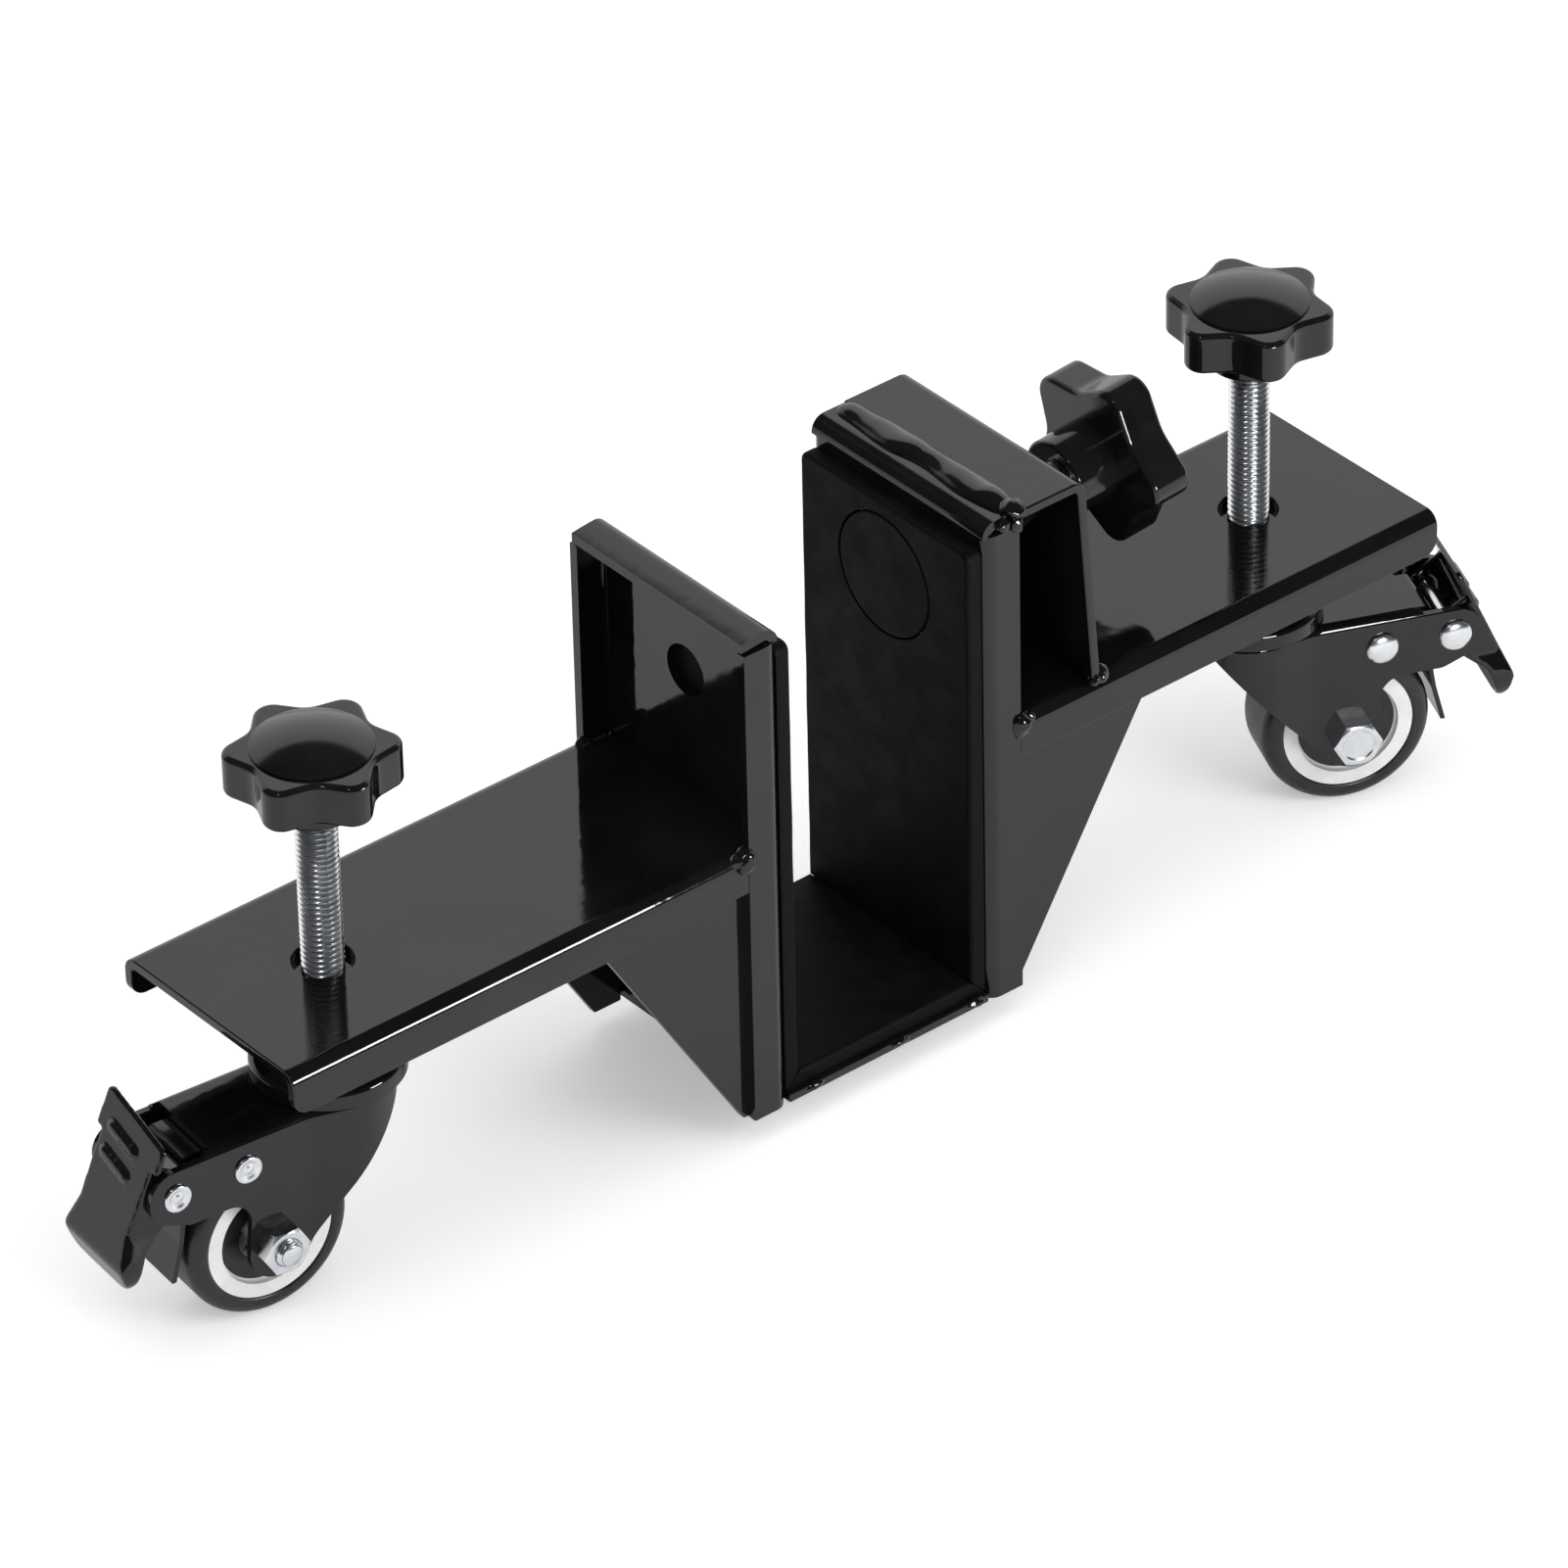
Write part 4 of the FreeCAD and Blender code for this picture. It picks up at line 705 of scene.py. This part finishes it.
# Each blob is its name, its middle and how far it reaches along X, Y and Z.
blobs = [
    ("bracket_top", Vector((rim - 0.6, front + 2.0, top + 0.3)), (3.8, 3.6, 2.8)),
    ("bracket_run", Vector((rim - 1.0, front + 0.4, top - 3.4)), (2.2, 2.2, 3.2)),
    ("rim_run", Vector((rim - 5.5, front + 0.8, top - 2.4)), (2.4, 2.0, 2.0)),
    ("bracket_foot", Vector((bracket_end + 0.6, front + 2.0, deck + 0.6)), (3.2, 3.2, 3.0)),
    ("bracket_toe", Vector((bracket_end - 1.8, front + 0.6, deck + 0.6)), (2.0, 1.8, 1.8)),
]
for side, way in zip(SIDES, (-1, 1)):
    corner = Vector((way * (rim + 0.6), front + 0.7, deck - 2.4))
    blobs.append((f"{side}_front_arm", corner, (3.6, 3.2, 4.2)))
    blobs.append((f"{side}_front_arm_run", corner + Vector((way * 2.8, 0.4, 0.9)), (2.5, 2.0, 2.1)))
    corner = Vector((way * (rim + 0.6), -front - 4.2, deck - 0.8))
    blobs.append((f"{side}_back_arm", corner, (2.8, 2.6, 2.6)))
for index, share in enumerate(BASE_TACKS):
    along = base_low.x + (base_high.x - base_low.x) * share
    edge = Vector((along, base_low.y + 0.5, base_high.z - 1.0))
    blobs.append((f"base_front_{index}", edge, (3.6, 1.7, 1.5)))
    edge = Vector((along, base_high.y - 2.2, base_high.z - 0.6))
    blobs.append((f"base_back_{index}", edge, (3.2, 1.5, 1.3)))
for index, (name, place, reach) in enumerate(blobs):
    weld_blob(f"{name}_weld_blob", place, reach, index * SEED_STEP)

# Sheet metal

FRAME_EDGE = 0.6
FRAME_SEGMENTS = 3
GUSSET_EDGE = 0.45
FORK_EDGE = 0.35
SHOE_EDGE = 0.3
EDGE_SEGMENTS = 2
SHARP_EDGE = math.radians(32)
# Points this near in metres are one, and faces that turn less than this are one.
SAME_POINT = 2e-6
SAME_FACE = math.radians(0.5)
# The left upright's top rim droops from a fold this far behind the slot's face.
FOLD_DEPTH = 4.7
RIM_CUTS = 6
RIM_FIRST_CUT = 1.0
RIM_CUT_GAP = 1.2
# The rim's faces have their middles within the first of these depths below the top, its points within the
# second.
RIM_FACES = 4.0
RIM_POINTS = 3.2
# The drop per millimetre from the fold, and per square millimetre.
DROOP = 0.07
DROOP_CURL = 0.006
# The pedals are smoothed in passes, more of them at the toe.
PEDAL_GRAIN = 0.4
PEDAL_PASSES = 10
TOE_PASSES = 36
# The pedal's toe starts this far above its middle and is full this much lower.
TOE_START = 2.0
TOE_BLEND = 12.0


def let_droop(shape, fold, outward):
    """Lets a top rim droop a little outward from its fold, as a flange pressed past square does."""
    top = max(vert.co.z for vert in shape.verts) / MM
    for cut in range(RIM_CUTS):
        faces = [face for face in shape.faces if face.calc_center_median().z > (top - RIM_FACES) * MM]
        geometry = dict.fromkeys(item for face in faces for item in (face, *face.edges, *face.verts))
        place = fold + outward * (RIM_FIRST_CUT + RIM_CUT_GAP * cut)
        bmesh.ops.bisect_plane(shape, geom=list(geometry), plane_co=(place * MM, 0, 0), plane_no=EAST)
    for vert in shape.verts:
        away = (vert.co.x / MM - fold) * outward
        if away > 0 and vert.co.z > (top - RIM_POINTS) * MM:
            vert.co.z -= (DROOP * away + DROOP_CURL * away * away) * MM


def softened(node, width, segments=EDGE_SEGMENTS, droop=None):
    """Stands for a CAD node whose sharp edges are rounded as on the real piece."""
    shape = bmesh.new()
    shape.from_mesh(nodes[node].data)
    bmesh.ops.remove_doubles(shape, verts=shape.verts, dist=SAME_POINT)
    bmesh.ops.dissolve_limit(shape, angle_limit=SAME_FACE, verts=shape.verts, edges=shape.edges)
    edges = []
    for edge in shape.edges:
        if len(edge.link_faces) == 2 and edge.calc_face_angle() > SHARP_EDGE:
            edges.append(edge)
    bmesh.ops.bevel(
        shape, geom=edges, offset=width * MM, segments=segments, profile=0.5,
        affect="EDGES", clamp_overlap=True,
    )
    if droop:
        let_droop(shape, *droop)
    mesh = mesh_of_shape(f"{node}_rounded", shape)
    shade_evenly(add_piece(mesh, "black_paint", body_of_node[node], [node]))


def fine_grid(node, grain):
    """A CAD node's mesh cut into even faces of this many millimetres."""
    thing = bpy.data.objects.new(f"{node}_grid", nodes[node].data.copy())
    bpy.context.scene.collection.objects.link(thing)
    grid = thing.modifiers.new("fine_grid", "REMESH")
    grid.mode = "VOXEL"
    grid.voxel_size = grain * MM
    graph = bpy.context.evaluated_depsgraph_get()
    mesh = bpy.data.meshes.new_from_object(thing.evaluated_get(graph))
    bpy.data.objects.remove(thing)
    return mesh


def pressed(node, grain, passes, toe_passes):
    """Stands for a CAD node pressed from sheet, with rounded edges, rounder still at the toe."""
    toe = box(node)[2].z + TOE_START
    shape = bmesh.new()
    shape.from_mesh(fine_grid(node, grain))
    rounds = {}
    for vert in shape.verts:
        depth = (toe - vert.co.z / MM) / TOE_BLEND
        rounds[vert] = passes + (toe_passes - passes) * min(1.0, max(0.0, depth))
    for count in range(toe_passes):
        chosen = [vert for vert, limit in rounds.items() if limit > count]
        bmesh.ops.smooth_vert(
            shape, verts=chosen, factor=0.5, use_axis_x=True, use_axis_y=True, use_axis_z=True,
        )
    mesh = mesh_of_shape(f"{node}_pressed", shape)
    add_piece(mesh, "black_paint", body_of_node[node], [node], sharp=180)


fold = box("left_upright")[1].x - FOLD_DEPTH
softened("left_upright", FRAME_EDGE, FRAME_SEGMENTS, droop=(fold, -1))
for node in ("right_upright", "left_arm", "right_arm", "clamp_bracket", "base_plate"):
    softened(node, FRAME_EDGE, FRAME_SEGMENTS)
for node in ("left_front_gusset", "left_back_gusset", "right_front_gusset", "right_back_gusset"):
    softened(node, GUSSET_EDGE)
for side in SIDES:
    softened(f"{side}_fork", FORK_EDGE)
    pressed(f"{side}_brake_pedal", PEDAL_GRAIN, PEDAL_PASSES, TOE_PASSES)
    softened(f"{side}_brake_shoe", SHOE_EDGE)

# Camera and light

VIEW_AZIMUTH = math.radians(-39.01)
VIEW_ELEVATION = math.radians(34.82)
VIEW_ROLL = math.radians(-1.30)
VIEW_DISTANCE = 3044.4
VIEW_TARGET = Vector((-1.2, 5.6, 61.6))
LENS = 250.7
SENSOR = 36.0
# The camera sees this far, in metres.
FARTHEST = 100.0

back = Vector((
    math.sin(VIEW_AZIMUTH) * math.cos(VIEW_ELEVATION),
    -math.cos(VIEW_AZIMUTH) * math.cos(VIEW_ELEVATION),
    math.sin(VIEW_ELEVATION),
))
level = Vector((math.cos(VIEW_AZIMUTH), math.sin(VIEW_AZIMUTH), 0))
upward = back.cross(level)
right = level * math.cos(VIEW_ROLL) + upward * math.sin(VIEW_ROLL)
camera = bpy.data.objects.new("camera", bpy.data.cameras.new("camera"))
camera.data.sensor_width = SENSOR
camera.data.lens = LENS
camera.data.clip_end = FARTHEST
turned = Matrix((right, back.cross(right), back)).transposed().to_4x4()
turned.translation = (VIEW_TARGET + back * VIEW_DISTANCE) * MM
camera.matrix_world = turned
bpy.context.scene.collection.objects.link(camera)
bpy.context.scene.camera = camera


def area_light(name, place, size, power, lights, shows_in_gloss):
    """A soft lamp of this width and height, placed in metres and turned to the object."""
    lamp = bpy.data.lights.new(name, "AREA")
    lamp.shape = "RECTANGLE"
    lamp.size, lamp.size_y = size
    lamp.energy = power
    thing = bpy.data.objects.new(name, lamp)
    thing.location = place
    thing.rotation_euler = (-Vector(place)).to_track_quat("-Z", "Y").to_euler()
    thing.visible_camera = False
    thing.visible_diffuse = lights
    thing.visible_glossy = shows_in_gloss
    bpy.context.scene.collection.objects.link(thing)


area_light("overhead_softbox", (-0.2, -0.2, 1.8), (1.8, 1.8), 10, lights=True, shows_in_gloss=False)
area_light("front_softbox", (0.45, -1.25, 0.75), (0.9, 0.9), 10, lights=True, shows_in_gloss=False)
area_light("edge_reflector", (0.078, -0.44, 0.2), (0.16, 0.09), 1.45, lights=False, shows_in_gloss=True)
area_light("left_reflector", (-0.9, -0.5, 1.3), (0.14, 0.14), 1.2, lights=False, shows_in_gloss=True)

# In gloss the white sweep ends between these heights of a direction, and starts between these reaches of
# it away from the camera.
SWEEP_TOP = (0.665, 0.715)
SWEEP_SIDES = (0.2, 0.42)
DARK_IN_GLOSS = 0.06
WHITE_IN_GLOSS = 1.1
DIFFUSE_LIGHT = 0.6
FLOOR_REACH = 6000.0
FLOOR_CLOUD = 400
FLOOR_DARK = (0.86, 0.86, 0.86)
FLOOR_LIGHT = (0.9, 0.9, 0.9)
FLOOR_GLOW = 0.35
GLOW_IN_GLOSS = 0.2


def studio():
    """A white sweep behind the object, dark overhead and in front, and plain white to look at."""
    world = bpy.data.worlds.new("studio")
    world.use_nodes = True
    tree = world.node_tree
    shader = tree.nodes["Background"]
    place = tree.nodes.new("ShaderNodeTexCoord")
    split = tree.nodes.new("ShaderNodeSeparateXYZ")
    tree.links.new(place.outputs["Generated"], split.inputs["Vector"])
    above = spread(tree, split.outputs["Z"], 1.0, 0.0, *SWEEP_TOP)
    facing = tree.nodes.new("ShaderNodeVectorMath")
    facing.operation = "DOT_PRODUCT"
    tree.links.new(place.outputs["Generated"], facing.inputs[0])
    facing.inputs[1].default_value = (-back.x, -back.y, 0)
    behind = spread(tree, facing.outputs["Value"], 0.0, 1.0, *SWEEP_SIDES)
    sweep = tree.nodes.new("ShaderNodeMath")
    sweep.operation = "MULTIPLY"
    tree.links.new(above, sweep.inputs[0])
    tree.links.new(behind, sweep.inputs[1])
    seen = spread(tree, sweep.outputs["Value"], DARK_IN_GLOSS, WHITE_IN_GLOSS, 0.0, 1.0)
    path = tree.nodes.new("ShaderNodeLightPath")
    mix = tree.nodes.new("ShaderNodeMix")
    mix.data_type = "RGBA"
    tree.links.new(path.outputs["Is Glossy Ray"], mix.inputs["Factor"])
    mix.inputs["A"].default_value = (1, 1, 1, 1)
    tree.links.new(seen, mix.inputs["B"])
    tree.links.new(mix.outputs["Result"], shader.inputs["Color"])
    strength = spread(tree, path.outputs["Is Diffuse Ray"], 1.0, DIFFUSE_LIGHT, 0.0, 1.0)
    tree.links.new(strength, shader.inputs["Strength"])
    bpy.context.scene.world = world


def floor():
    """A pale floor under the wheels that keeps the shadow."""
    ground = cad_low.z / MM
    spots = ((-1, -1), (1, -1), (1, 1), (-1, 1))
    corners = [(x * FLOOR_REACH, y * FLOOR_REACH, ground) for x, y in spots]
    mesh = mesh_of_points("floor", corners, [(0, 1, 2, 3)])
    thing = bpy.data.objects.new("floor", mesh)
    bpy.context.scene.collection.objects.link(thing)
    material, tree, shader = new_material("pale_floor", {"Roughness": 0.9, "Specular IOR Level": 0.0})
    cloud = speckle(tree, FLOOR_CLOUD, 2.0)
    tree.links.new(tint(tree, cloud, FLOOR_DARK, FLOOR_LIGHT), shader.inputs["Base Color"])
    glow = tree.nodes.new("ShaderNodeEmission")
    glow.inputs["Strength"].default_value = FLOOR_GLOW
    path = tree.nodes.new("ShaderNodeLightPath")
    seen = tree.nodes.new("ShaderNodeMath")
    seen.operation = "MULTIPLY_ADD"
    tree.links.new(path.outputs["Is Glossy Ray"], seen.inputs[0])
    seen.inputs[1].default_value = GLOW_IN_GLOSS
    tree.links.new(path.outputs["Is Camera Ray"], seen.inputs[2])
    none = tree.nodes.new("ShaderNodeBsdfTransparent")
    none.inputs["Color"].default_value = (0, 0, 0, 1)
    shown = tree.nodes.new("ShaderNodeMixShader")
    tree.links.new(seen.outputs["Value"], shown.inputs["Fac"])
    tree.links.new(none.outputs["BSDF"], shown.inputs[1])
    tree.links.new(glow.outputs["Emission"], shown.inputs[2])
    both = tree.nodes.new("ShaderNodeAddShader")
    tree.links.new(shader.outputs["BSDF"], both.inputs[0])
    tree.links.new(shown.outputs["Shader"], both.inputs[1])
    tree.links.new(both.outputs["Shader"], tree.nodes["Material Output"].inputs["Surface"])
    mesh.materials.append(material)


studio()
floor()
bpy.context.scene.view_settings.view_transform = "Standard"
